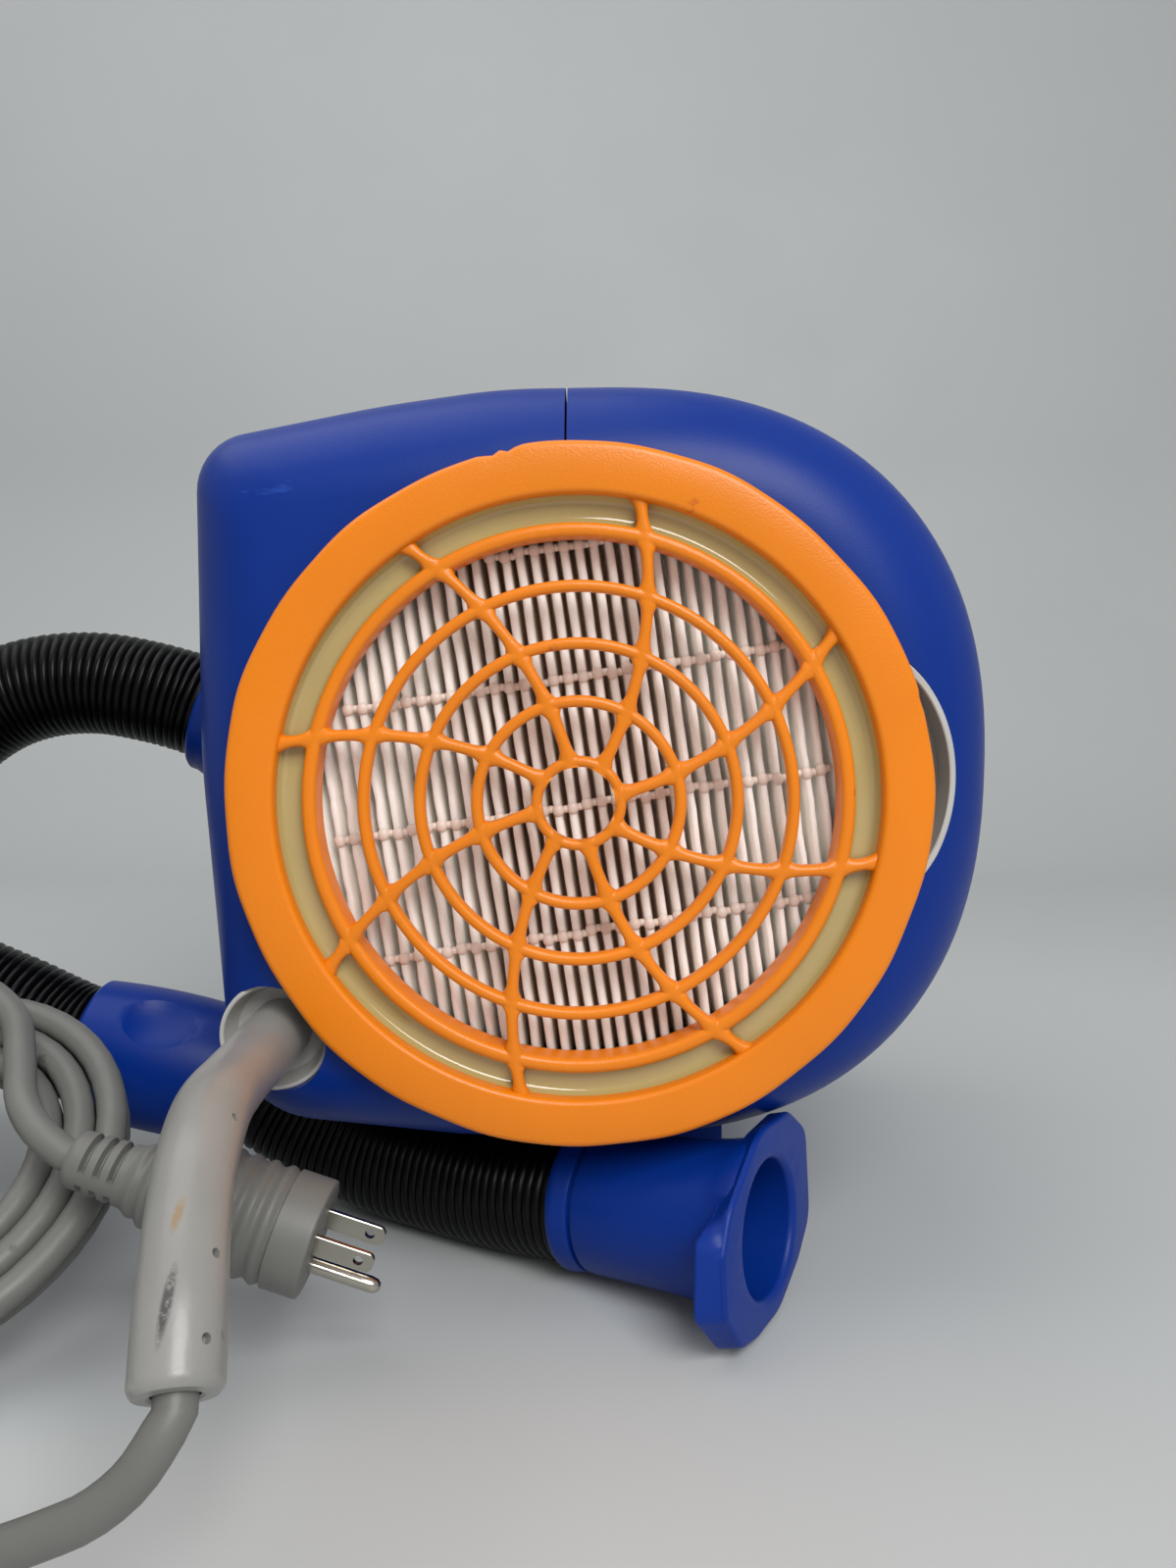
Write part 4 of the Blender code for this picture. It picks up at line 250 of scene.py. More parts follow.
def loft_faces(rows, columns, ends="caps", start=0):
    """Faces between closed rings of points; ends are capped, or the last ring is joined to the first."""
    low = start + columns * np.arange(rows if ends == "join" else rows - 1)[:, None]
    high = start + (low - start + columns) % (rows * columns)
    here = np.arange(columns)
    there = (here + 1) % columns
    quads = np.stack([low + here, low + there, high + there, high + here], axis=-1)
    faces = quads.reshape(-1, 4).tolist()
    if ends == "caps":
        last = start + (rows - 1) * columns
        faces += [(start + here).tolist(), (last + here[::-1]).tolist()]
    return faces


def loft(name, rings, ends="caps", sharp=35.0):
    """A mesh through closed rings of points, an array of rows x columns x 3."""
    rings = np.asarray(rings, float)
    return to_mesh(name, rings.reshape(-1, 3), loft_faces(*rings.shape[:2], ends), sharp)


def unit_frame(direction):
    """Unit vectors along a direction, level across it, and the third of the set."""
    along = unit(direction)
    across = np.cross((0.0, 0.0, 1.0), along)
    across = unit(across) if np.linalg.norm(across) > 1e-6 else np.array([1.0, 0.0, 0.0])
    return along, across, np.cross(along, across)


def spokes_round(first, second, sides):
    """Unit spokes at even bearings: cosine of the bearing times one way, sine times the other."""
    turn = np.linspace(0, 2 * math.pi, sides, endpoint=False)[:, None]
    return np.cos(turn) * first + np.sin(turn) * second


def lathe_rings(profile, base, direction, sides=96):
    """Rings of a profile of (radius, reach along the axis), turned about the axis."""
    along, across, third = unit_frame(direction)
    radius, reach = np.array([tuple(point) for point in profile]).T[:, :, None, None]
    return np.asarray(base) + along * reach + spokes_round(across, third, sides) * radius


def lathe(name, profile, base, direction, sides=96, ends="join", sharp=35.0):
    """A turned mesh; a profile that starts and ends near the axis takes caps."""
    return loft(name, lathe_rings(profile, base, direction, sides), ends, sharp)


def cylinder(radius, start, direction, length, sides=96):
    """A plain round bar as a mesh."""
    return lathe("bar", [(radius, 0.0), (radius, length)], start, direction, sides, "caps")


def link(name, mesh, mat, body=None):
    """A named object that shows a mesh in one material and moves with a body."""
    obj = bpy.data.objects.new(name, mesh)
    bpy.context.scene.collection.objects.link(obj)
    mesh.materials.append(mat)
    if body:
        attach(obj, body)
    return obj


def cut(obj, cutters, operation="DIFFERENCE"):
    """Take cutter meshes out of an object, or add them, with exact Booleans applied at once."""
    for mesh in cutters:
        tool = bpy.data.objects.new("cutter", mesh)
        bpy.context.scene.collection.objects.link(tool)
        modifier = obj.modifiers.new("cut", "BOOLEAN")
        modifier.object = tool
        modifier.operation = operation
        modifier.solver = "EXACT"
        bpy.context.view_layer.update()
        evaluated = obj.evaluated_get(bpy.context.evaluated_depsgraph_get())
        result = bpy.data.meshes.new_from_object(evaluated)
        obj.modifiers.clear()
        obj.data = result
        bpy.data.objects.remove(tool, do_unlink=True)
    obj.data.shade_smooth()
    obj.data.set_sharp_from_angle(angle=math.radians(35))


def srgb(red, green, blue):
    """Linear colour from 8-bit sRGB values."""
    return tuple((c / 255 / 12.92) if c <= 10 else ((c / 255 + 0.055) / 1.055) ** 2.4
                 for c in (red, green, blue))


def node(mat, kind, inputs, **settings):
    """A shader node with settings, and inputs given as values or as another node's output."""
    made = mat.node_tree.nodes.new(kind)
    for key, value in settings.items():
        setattr(made, key, value)
    for key, value in inputs.items():
        if isinstance(value, bpy.types.NodeSocket):
            mat.node_tree.links.new(value, made.inputs[key])
        else:
            made.inputs[key].default_value = value
    return made


def object_place(mat):
    """The place on the object, in metres, as a socket."""
    return node(mat, "ShaderNodeTexCoord", {}).outputs["Object"]


def noise(mat, place, scale, detail=3.0, roughness=0.5):
    """The grey value of a noise at a place socket."""
    return node(mat, "ShaderNodeTexNoise", {"Vector": place, "Scale": scale, "Detail": detail,
                                            "Roughness": roughness}).outputs["Fac"]


def span(mat, value, low, high, to_low, to_high):
    """A value mapped from one range to another and held inside it."""
    return node(mat, "ShaderNodeMapRange", {"Value": value, "From Min": low, "From Max": high,
                                            "To Min": to_low, "To Max": to_high}).outputs["Result"]


def blend(mat, share, first, second):
    """A mix of two colours by a share."""
    mixer = node(mat, "ShaderNodeMix", {}, data_type="RGBA")
    for socket, value in ((0, share), (6, first), (7, second)):
        if isinstance(value, bpy.types.NodeSocket):
            mat.node_tree.links.new(value, mixer.inputs[socket])
        else:
            mixer.inputs[socket].default_value = (*value, 1.0)
    return mixer.outputs[2]


def finish_material(name, colour, roughness, metallic=0.0, mottle=0.06, mottle_scale=30.0,
                    grain=0.05, grain_scale=900.0, marks=None, coat=0.0, wear=0.10, gloss=0.5):
    """A procedural finish on Object coordinates.

    mottle darkens and lightens the colour in wide patches, grain is a fine bump, wear varies
    the roughness, and marks is (colour, share of the surface, scale, stretch) for scuffs.
    """
    mat = bpy.data.materials.new(name)
    mat.use_nodes = True
    shader = mat.node_tree.nodes["Principled BSDF"]
    place = object_place(mat)
    dark = tuple(c * (1 - mottle) for c in colour)
    light = tuple(min(1.0, c * (1 + mottle)) for c in colour)
    patches = span(mat, noise(mat, place, mottle_scale, 4.0), 0.35, 0.65, 0.0, 1.0)
    tone = blend(mat, patches, dark, light)
    rough = span(mat, noise(mat, place, mottle_scale * 2.3, 5.0), 0.3, 0.7,
                 roughness * (1 - wear), roughness * (1 + wear))
    if marks:
        mark_colour, share, scale, stretch = marks
        squeezed = node(mat, "ShaderNodeMapping", {"Vector": place, "Scale": stretch}).outputs[0]
        scuffs = span(mat, noise(mat, squeezed, scale, 6.0, 0.62), 0.74 - share, 0.78 - share,
                      0.0, 1.0)
        tone = blend(mat, scuffs, tone, mark_colour)
    bump = node(mat, "ShaderNodeBump", {"Height": noise(mat, place, grain_scale, 3.0),
                                        "Strength": grain, "Distance": 0.0004})
    for socket, value in (("Base Color", tone), ("Roughness", rough), ("Normal", bump.outputs[0])):
        mat.node_tree.links.new(value, shader.inputs[socket])
    shader.inputs["Metallic"].default_value = metallic
    shader.inputs["Coat Weight"].default_value = coat
    shader.inputs["Specular IOR Level"].default_value = gloss
    return mat


blue = finish_material("blue_plastic", srgb(2, 44, 129), 0.38, mottle=0.05, mottle_scale=9.0,
                       grain=0.10, grain_scale=1400.0, gloss=0.22,
                       marks=(srgb(24, 63, 149), 0.055, 26.0, (1.0, 1.0, 5.0)))
case_skin = np.array(case_rings(CASE_WALL, 4, 0, 3)[::-1] + case_rings(0.0, 14, 2, 9))
case_holes = {
    "left_shell": [cylinder(GLAND_R - GLAND_PRESS, (GLAND_X, CUTTER_FRONT, GLAND_Z), BACKWARD, 0.10),
                   cylinder(SPIGOT_R + SPIGOT_GAP, (-0.2, SPIGOT_Y, SPIGOT_Z), (1, 0, 0), 0.12)],
    "right_shell": [cylinder(NOTCH_R + NOTCH_GAP, (NOTCH_X, CUTTER_FRONT, AXIS_Z + NOTCH_UP),
                             BACKWARD, CASE_FRONT + NOTCH_DEPTH - CUTTER_FRONT, 160)],
}
for name, side in (("left_shell", -1), ("right_shell", 1)):
    shell = link(name + "_look", loft(name + "_look", case_skin), blue, "case")
    seam = SEAM_X + side * SEAM_GAP / 2
    past_seam = ((seam, -FAR), (-side * FAR, -FAR), (-side * FAR, FAR), (seam, FAR))
    other_half = loft("half", [[(x, y, z) for x, z in past_seam] for y in (-FAR, FAR)])
    cut(shell, [other_half, *case_holes[name]])
    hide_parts(name)

# ---------------------------------------------------------------- base, feet and screws
# A blue base tray carries the case on four rubber feet, out of the camera's sight. Four steel
# screws hold the two shells together at the back.
black_rubber = finish_material("black_rubber", srgb(24, 24, 25), 0.80, grain=0.3)
steel = finish_material("steel", srgb(196, 198, 200), 0.36, metallic=1.0, wear=0.25)


def paint(mat, *names):
    """Give CAD nodes, which stay as they are, a procedural material."""
    for name in names:
        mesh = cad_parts[name].data
        mesh.materials.clear()
        mesh.materials.append(mat)


def soften(width, *names):
    """A fine bevel on CAD nodes' hard edges."""
    for name in names:
        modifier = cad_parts[name].modifiers.new("edges", "BEVEL")
        modifier.width = width
        modifier.segments = 2
        modifier.limit_method = "ANGLE"
        modifier.angle_limit = math.radians(40)


paint(blue, "base_plinth")
soften(0.0012, "base_plinth")
paint(black_rubber, "foot_front_left", "foot_front_right", "foot_rear_left", "foot_rear_right")
paint(steel, "case_screw_1", "case_screw_2", "case_screw_3", "case_screw_4")

# ---------------------------------------------------------------- blower and heater
# A black plastic volute with a sheet-metal rotor on its motor blows through a heater of wire
# wound on mica cards in a steel duct. All of it is inside the case.
black_plastic = finish_material("black_plastic", srgb(22, 22, 24), 0.42)
mica = finish_material("mica", srgb(205, 190, 158), 0.6)
heater_wire = finish_material("heater_wire", srgb(205, 140, 100), 0.5, metallic=1.0)
paint(black_plastic, "volute", "inlet_plate")
paint(steel, "impeller", "motor_shaft", "motor_plate", "motor_can", "heater_duct", "thermal_cutout")
paint(mica, "heater_frame", "terminal_block")
paint(heater_wire, "heater_coil")

# ---------------------------------------------------------------- filter seat and outlet
# Light grey moulded parts in the case: the sleeve that the filter cartridge slides into, on a
# black foam gasket, and the spigot that the hose's cuff plugs over.
grey_plastic = finish_material("grey_plastic", srgb(186, 185, 181), 0.45)
black_foam = finish_material("black_foam", srgb(26, 26, 27), 0.95, grain=0.9, grain_scale=700.0)
paint(grey_plastic, "filter_seat", "outlet_spigot")
paint(black_foam, "filter_gasket")

# ---------------------------------------------------------------- pleated filter paper
# One sheet of pink-white filter paper folded into pleats 4.6 mm apart and 13 mm deep. It sits
# in the cover's inner ring, and its valleys are flatter at the sides. Painted brown shade, which
# stands for the shade deep in the pleats and the orange cover's reflection, darkens the middle valleys.
PLEAT_PITCH = 0.0046
PLEAT_FRONT = 0.0142
PLEAT_DEPTH = 0.0130
PLEAT_BACK = 0.0390
PLEAT_LEAN = math.radians(8.5)
PLEAT_R = 0.0830
PLEAT_STEPS = 12
PLEAT_ROWS = 44
RIDGE_ROUND = 0.0006
PAINTED_SHADE_HALF = 0.038            # half the width of the middle, where the valleys get painted shade
EDGE_FLAT = 0.50              # share of the depth that is lost at the sides
SWAY = 0.00009
CRINKLE = 0.00004
rng = np.random.default_rng(7)


def leaned(across, along, depth):
    """Places in the drawing of points across and along the pleats, which lean to the left."""
    x = across * math.cos(PLEAT_LEAN) - along * math.sin(PLEAT_LEAN)
    z = across * math.sin(PLEAT_LEAN) + along * math.cos(PLEAT_LEAN)
    return np.stack([x, depth + 0 * x, AXIS_Z + z], axis=-1)


# The front sheet is a grid. Across a pleat its depth runs from the ridge down a smooth step,
# 3 s squared minus 2 s cubed, to the valley's floor. Each ridge sways a little along its length.
pleat_count = int(2 * PLEAT_R / PLEAT_PITCH)
sheet_half = PLEAT_R - 0.0004
across = np.linspace(-sheet_half, sheet_half, pleat_count * PLEAT_STEPS + 1)
half_chord = np.sqrt(np.maximum(PLEAT_R ** 2 - across ** 2, 1e-8))
along = np.linspace(-1, 1, PLEAT_ROWS)[:, None] * half_chord
pleat_index = np.floor(across / PLEAT_PITCH).astype(int) + pleat_count
from_ridge = np.abs((across / PLEAT_PITCH) % 1.0 - 0.5)
sway = rng.normal(0, SWAY, (PLEAT_ROWS, pleat_count * 2 + 4))
sway = (sway + np.roll(sway, 1, axis=0) + np.roll(sway, 2, axis=0)) / 1.2
valley = np.clip((from_ridge - 0.23) / 0.20, 0, 1)
valley = valley * valley * (3 - 2 * valley)
pleat_floor = (PLEAT_DEPTH - 0.001) * (1 - EDGE_FLAT * (across / PLEAT_R) ** 2)
depth = PLEAT_FRONT + RIDGE_ROUND * np.clip(from_ridge / 0.22, 0, 1) ** 4 + pleat_floor * valley
swayed = across + sway[:, pleat_index] * (1 - valley)
front_sheet = leaned(swayed, along, depth + rng.normal(0, CRINKLE, along.shape)).reshape(-1, 3)

# A wall runs round the sheet's edge to a flat back.
grid = np.arange(along.size).reshape(along.shape)
sheet_faces = np.stack([grid[:-1, :-1], grid[:-1, 1:], grid[1:, 1:], grid[1:, :-1]], axis=-1)
edge_loop = np.concatenate([grid[0], grid[1:, -1], grid[-1, -2::-1], grid[-2:0:-1, 0]])
back_loop = along.size + np.arange(len(edge_loop))
back_points = front_sheet[edge_loop]
back_points[:, 1] = PLEAT_BACK
wall_faces = np.stack([edge_loop, np.roll(edge_loop, -1), np.roll(back_loop, -1), back_loop], axis=1)
pleat_faces = [*sheet_faces.reshape(-1, 4).tolist(), *wall_faces.tolist(), back_loop.tolist()]
pleat_mesh = to_mesh("pleats", np.vstack([front_sheet, back_points]), pleat_faces, 80)
# Painted shade: a share for each front point, high in the valleys towards the middle, where the pleats are
# deepest; it also stands for the orange cover's warm reflection.
painted_valley_shade = np.zeros(len(pleat_mesh.vertices))
painted_valley_shade[:along.size] = np.tile(valley * np.clip(1.25 - (across / PAINTED_SHADE_HALF) ** 2, 0, 1), PLEAT_ROWS)
pleat_mesh.attributes.new("painted_valley_shade", "FLOAT", "POINT").data.foreach_set("value", painted_valley_shade)

paper = finish_material("filter_paper", srgb(252, 246, 238), 0.85, mottle=0.03, mottle_scale=60.0,
                        grain=0.3, grain_scale=1600.0)
paper_shader = paper.node_tree.nodes["Principled BSDF"]
paper_shader.inputs["Subsurface Weight"].default_value = 0.55
paper_shader.inputs["Subsurface Radius"].default_value = (0.0045, 0.0042, 0.0040)
paper_shader.inputs["Subsurface Scale"].default_value = 1.0
clean_paper = paper_shader.inputs["Base Color"].links[0].from_socket
# The paper turns brown by the painted shade share: painted shade and painted reflection in the middle
# valleys.
painted_shade_share = node(paper, "ShaderNodeAttribute", {}, attribute_name="painted_valley_shade").outputs["Fac"]
shaded_paper = blend(paper, painted_shade_share, clean_paper, srgb(190, 160, 138))
paper.node_tree.links.new(shaded_paper, paper_shader.inputs["Base Color"])
pleats = link("pleats", pleat_mesh, paper, "filter_cartridge")
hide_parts("pleat_pack")

# ---------------------------------------------------------------- glue beads
# Five rows of hot glue across the pleats hold them at an even pitch: a bead on each ridge, and
# a smaller, lower one in the gap beside it.
BEAD_ROW_STEP = 0.0397
BEAD_ROW_START = -0.0020
BEAD_ON_RIDGE = (0.0019, 0.0021, 0.0014)
BEAD_IN_GAP = (0.0017, 0.0012, 0.0014)
BEAD_EDGE = 0.0030            # kept free inside the paper's edge
BEAD_RINGS = 7
BEAD_SIDES = 10

ridge_number = np.arange(-pleat_count // 2 - 1, pleat_count // 2 + 2)
bead_along, bead_across = (part.ravel() for part in np.meshgrid(
    BEAD_ROW_START + BEAD_ROW_STEP * np.arange(-2, 3), (ridge_number + 0.5) * PLEAT_PITCH,
    indexing="ij"))
on_paper = np.hypot(bead_across, bead_along) <= PLEAT_R - BEAD_EDGE
bead_across = bead_across[on_paper]
bead_along = bead_along[on_paper] + rng.normal(0, 0.0003, on_paper.sum())
bead_centres = np.stack([
    np.stack([bead_across, bead_along, 0 * bead_along + PLEAT_FRONT + 0.0004], axis=1),
    np.stack([bead_across + PLEAT_PITCH / 2, bead_along, 0 * bead_along + PLEAT_FRONT + 0.0014],
             axis=1)], axis=1)
# A bead is an ellipsoid: its radii times the sines and cosines of its rise and turn.
rise = np.linspace(0, math.pi, BEAD_RINGS)[:, None]
turn = np.linspace(0, 2 * math.pi, BEAD_SIDES, endpoint=False)
ball = np.stack([np.sin(rise) * np.cos(turn), np.cos(rise) + 0 * turn, np.sin(rise) * np.sin(turn)],
                axis=-1)
bead_radii = np.array([BEAD_ON_RIDGE, BEAD_IN_GAP])[:, None, None]
bead_points = (bead_centres[:, :, None, None] + bead_radii * ball).reshape(-1, 3)
bead_faces = [face for start in range(0, len(bead_points), BEAD_RINGS * BEAD_SIDES)
              for face in loft_faces(BEAD_RINGS, BEAD_SIDES, "caps", start)]
glue = finish_material("glue", srgb(226, 212, 200), 0.35, mottle=0.03)
beads = link("glue_beads", to_mesh("glue_beads", leaned(*bead_points.T), bead_faces, 80), glue,
             "filter_cartridge")

# ---------------------------------------------------------------- potting
# Glossy tan resin that was poured between the cover's rim and inner ring; it creeps up the
# walls at both sides, which gives the bright edges in each window.
POTTING_IN = 0.0836
POTTING_OUT = 0.0919
POTTING_LOW = 0.0078
POTTING_CREEP = 0.0024
CARTRIDGE_BACK = 0.043
# Across the ring the resin's front rises with the fifth power of the share from its middle.
from_middle = np.linspace(-1, 1, 17)
resin_radius = (POTTING_IN + POTTING_OUT) / 2 + from_middle * (POTTING_OUT - POTTING_IN) / 2
resin_depth = POTTING_LOW - POTTING_CREEP * np.abs(from_middle) ** 5
potting_profile = [(POTTING_IN, CARTRIDGE_BACK), *zip(resin_radius, resin_depth),
                   (POTTING_OUT, CARTRIDGE_BACK)]
resin = finish_material("tan_resin", srgb(180, 162, 106), 0.10, mottle=0.04, mottle_scale=25.0,
                        grain=0.03, grain_scale=160.0, coat=0.5)
potting = link("potting", lathe("potting", potting_profile, (0, 0, AXIS_Z), BACKWARD, 192), resin,
               "filter_cartridge")
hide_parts("potting_ring")

# ---------------------------------------------------------------- filter cover
# Soft orange rubbery cover: a wide flange that grips the case, and inside it five round bars
# and eight spokes that swirl outwards. It was moulded in one piece; its rim is nicked on top.
COVER_R = 0.1070
COVER_IN = 0.0918
BAR_TOP = 0.0022
BAR_SHOULDER = 0.0042
BAR_BACK = 0.0060
BAR_WIDTH = 0.0036
BAR_BANDS = ((0.0111, 0.0144), (0.0291, 0.0327), (0.0464, 0.0500), (0.0634, 0.0670),
             (0.0795, 0.0838))
BAR_STEPS = 8
RING_GAP_STEPS = 8
RIM_BACK = 0.0125
WEB_END = 0.0930
SPOKES = 8
SPOKE_START = math.radians(-36.1)
SPOKE_SWIRL = math.radians(270.0)          # for each metre of radius
SPOKE_GAP_STEPS = 12
FLARE = 0.0013
FLARE_REACH = 0.0012
RIM_NICKS = ((101.0, 0.9, 0.0012), (103.4, 0.5, 0.0016), (104.6, 0.5, 0.0009), (17.0, 0.8, 0.0006))


def cover_web():
    """Places and faces of the bars, on a grid of radii and bearings with a front and a back.

    Across a bar, s is minus the cosine of even turns, and the front rises by 1 - s squared, to
    the power 0.35: a flattened half circle. A spoke's bearing grows with the radius. Its width
    grows near a ring by FLARE times exp(-distance / FLARE_REACH), which rounds the corners.
    """
    bar_share = -np.cos(np.linspace(0, math.pi, BAR_STEPS + 1))
    bar_rise = (1 - bar_share ** 2) ** 0.35
    gap_share = np.arange(1, RING_GAP_STEPS) / RING_GAP_STEPS
    radius, ring_rise, on_ring = [], [], []
    for (low, high), next_low in zip(BAR_BANDS, [low for low, _ in BAR_BANDS[1:]] + [WEB_END]):
        radius += [(low + high) / 2 + (high - low) / 2 * bar_share, high + (next_low - high) * gap_share]
        ring_rise += [bar_rise, 0 * gap_share]
        on_ring += [bar_share < 2, gap_share < 0]
    radius = np.concatenate([*radius, [WEB_END]])[:, None]
    ring_rise = np.concatenate([*ring_rise, [0.0]])[:, None]
    on_ring = np.concatenate([*on_ring, [False]])[:, None]
    on_wall = on_ring & (radius > BAR_BANDS[-1][0] - 1e-6)

    gap_part = np.arange(1, SPOKE_GAP_STEPS) / SPOKE_GAP_STEPS
    in_spoke = len(bar_share) + len(gap_part)
    spoke = np.repeat(np.arange(SPOKES), in_spoke)
    of_half = np.tile(np.append(bar_share, 1 - 2 * gap_part), SPOKES)
    of_pitch = np.tile(np.append(0 * bar_share, gap_part), SPOKES) + spoke
    spoke_rise = np.tile(np.append(bar_rise, 0 * gap_part), SPOKES)
    near = np.abs(radius - np.append(BAR_BANDS, COVER_IN)).min(axis=1, keepdims=True)
    half = np.arcsin(np.minimum(0.9, (BAR_WIDTH / 2 + FLARE * np.exp(-near / FLARE_REACH)) / radius))
    bearing = SPOKE_START + SPOKE_SWIRL * radius + half * of_half + 2 * math.pi / SPOKES * of_pitch
    x, z = radius * np.cos(bearing), AXIS_Z + radius * np.sin(bearing)
    front = BAR_SHOULDER - (BAR_SHOULDER - BAR_TOP) * np.maximum(ring_rise, spoke_rise)
    back = np.where(on_wall, RIM_BACK, BAR_BACK) + 0 * bearing
    places = np.stack([np.stack([x, front, z], axis=-1), np.stack([x, back, z], axis=-1)], axis=2)

    solid = (on_ring[:-1] & on_ring[1:]) | (np.arange(bearing.shape[1]) % in_spoke < BAR_STEPS)
    at = 2 * np.arange(bearing.size).reshape(bearing.shape)        # a front point; its back is next
    here, above = at[:-1], at[1:]
    beside, across = np.roll(here, -1, axis=1), np.roll(above, -1, axis=1)
    edge = np.ones_like(solid[:1])
    faces = [np.stack([corner[mask] for corner in corners], axis=1) for mask, *corners in (
        (solid, here, beside, across, above),
        (solid, here + 1, above + 1, across + 1, beside + 1),
        (solid & np.vstack([edge, ~solid[:-1]]), here, here + 1, beside + 1, beside),
        (solid & np.vstack([~solid[1:], edge]), above, across, across + 1, above + 1),
        (solid & ~np.roll(solid, 1, axis=1), here, above, above + 1, here + 1),
        (solid & ~np.roll(solid, -1, axis=1), beside, beside + 1, across + 1, across))]
    used, faces = np.unique(np.vstack(faces), return_inverse=True)
    return places.reshape(-1, 3)[used], faces.reshape(-1, 4)


def cover_flange(sides=288):
    """Rings of the flange: a flat front with round edges.

    Its rim waves by three sines of the bearing, and each nick is a bell curve of it.
    """
    profile = [(COVER_IN, CARTRIDGE_BACK), *arc((COVER_IN + 0.0019, 0.0022), 0.0019, 180, 270, 6),
               (0.0965, 0.00012), (0.1000, 0.0), (0.1030, 0.00015),
               *arc((COVER_R - 0.0024, 0.0027), 0.0024, 270, 360, 6),
               *arc((COVER_R - 0.0015, 0.0070), 0.0015, 0, 90, 4),
               (0.0943, 0.0085), (0.0940, 0.0090), (0.0940, CARTRIDGE_BACK)]
    rings = lathe_rings(profile, (0, 0, AXIS_Z), BACKWARD, sides)
    x, z = rings[..., 0], rings[..., 2] - AXIS_Z
    bearing = np.arctan2(z, x)
    outer_share = np.clip((np.hypot(x, z) - 0.0975) / 0.0095, 0, 1)
    wave = (0.00028 * np.sin(5 * bearing + 0.7) + 0.00022 * np.sin(11 * bearing + 2.0)
            + 0.00012 * np.sin(23 * bearing))
    for degrees, width, nick_depth in RIM_NICKS:
        off = (np.degrees(bearing) - degrees + 180) % 360 - 180
        wave -= nick_depth * np.exp(-(off / width) ** 2)
    out = np.stack([np.cos(bearing), 0 * bearing, np.sin(bearing)], axis=-1)
    return rings + out * (wave * outer_share)[..., None]


def arc(centre, radius, first, last, steps):
    """Points (a, b) of an arc about a centre, bearings in degrees."""
    turns = np.radians(np.linspace(first, last, steps + 1))
    return [*zip(centre[0] + radius * np.cos(turns), centre[1] + radius * np.sin(turns))]


orange = finish_material("orange_rubber", srgb(230, 126, 4), 0.32, mottle=0.04, mottle_scale=14.0,
                         grain=0.25, grain_scale=1500.0, gloss=0.42,
                         marks=(srgb(196, 92, 20), 0.035, 45.0, (1.0, 1.0, 1.0)))
flange_rings = cover_flange()
web_places, web_faces = cover_web()
flange_size = flange_rings[..., 0].size
cover_mesh = to_mesh("filter_cover", np.vstack([flange_rings.reshape(-1, 3), web_places]),
                     loft_faces(*flange_rings.shape[:2], "join") + (web_faces + flange_size).tolist(), 50)
cover = link("filter_cover", cover_mesh, orange, "filter_cartridge")
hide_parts("grille_frame")

# ---------------------------------------------------------------- finger cup
# A light grey plastic cup set into the case beside the cover, so that fingers reach behind
# the flange. It is a crescent between two circles, with a lip that stands off the case.
CUP_IN_R = 0.0990
CUP_WALL = 0.0022
CUP_PROUD = 0.0012
CUP_EDGE = 0.0004
CUP_SPREAD = 0.80             # share of the two circles' overlap that the cup takes
CUP_STEPS = 40
LIP_START = 0.0010            # outside the cover's rim
LIP_RAMP = 0.0040


def case_front_at(points):
    """The depth of the case's front at points beside the mouth.

    The distance to the outline, along a point's bearing, says how far up the front rounding's
    quarter circle the point lies; past the rounding the front is flat.
    """
    turn = np.arctan2(outline[:, 1], outline[:, 0])
    order = np.argsort(turn)
    reach = np.interp(np.arctan2(points[:, 1], points[:, 0]), turn[order], outline_reach[order])
    from_flat = FRONT_FILLET - np.minimum(reach - np.hypot(*points.T), FRONT_FILLET)
    return CASE_FRONT + FRONT_FILLET - np.sqrt(FRONT_FILLET ** 2 - from_flat ** 2)


def crescent(wall):
    """Points round the crescent between the filter's circle and the notch's, a wall in.

    The inner side is an arc about the filter's axis. The outer side is where its bearings meet
    the notch's circle: the circle's centre seen along the bearing, plus half a chord.
    """
    big, small = NOTCH_R - wall, CUP_IN_R + wall
    apart = math.hypot(NOTCH_X, NOTCH_UP)
    half = math.acos((small ** 2 + apart ** 2 - big ** 2) / (2 * small * apart)) * CUP_SPREAD
    turn = math.atan2(NOTCH_UP, NOTCH_X) + half * np.linspace(-1, 1, CUP_STEPS)
    ahead = NOTCH_X * np.cos(turn) + NOTCH_UP * np.sin(turn)
    aside = NOTCH_X * np.sin(turn) - NOTCH_UP * np.cos(turn)
    way = np.stack([np.cos(turn), np.sin(turn)], axis=1)
    reach = ahead + np.sqrt(big ** 2 - aside ** 2)
    return np.vstack([small * way, (reach[:, None] * way)[::-1]])


def lip_ring(wall, behind=0.0):
    """A ring of the lip, which rises to CUP_PROUD off the case in a ramp outside the cover."""
    points = crescent(wall)
    beyond = (np.hypot(*points.T) - COVER_R - LIP_START) / LIP_RAMP
    return at_depth(points, case_front_at(points) - CUP_PROUD * np.clip(beyond, 0, 1) + behind)


cup_back = CASE_FRONT + NOTCH_DEPTH - 0.0003
cup_rings = [at_depth(crescent(0.0), cup_back), lip_ring(0.0, CUP_EDGE), lip_ring(CUP_EDGE),
             lip_ring(CUP_WALL - CUP_EDGE), lip_ring(CUP_WALL, CUP_EDGE),
             at_depth(crescent(CUP_WALL), cup_back - CUP_WALL)]
cup = link("finger_cup_look", loft("finger_cup_look", cup_rings), grey_plastic, "case")
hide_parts("finger_cup")

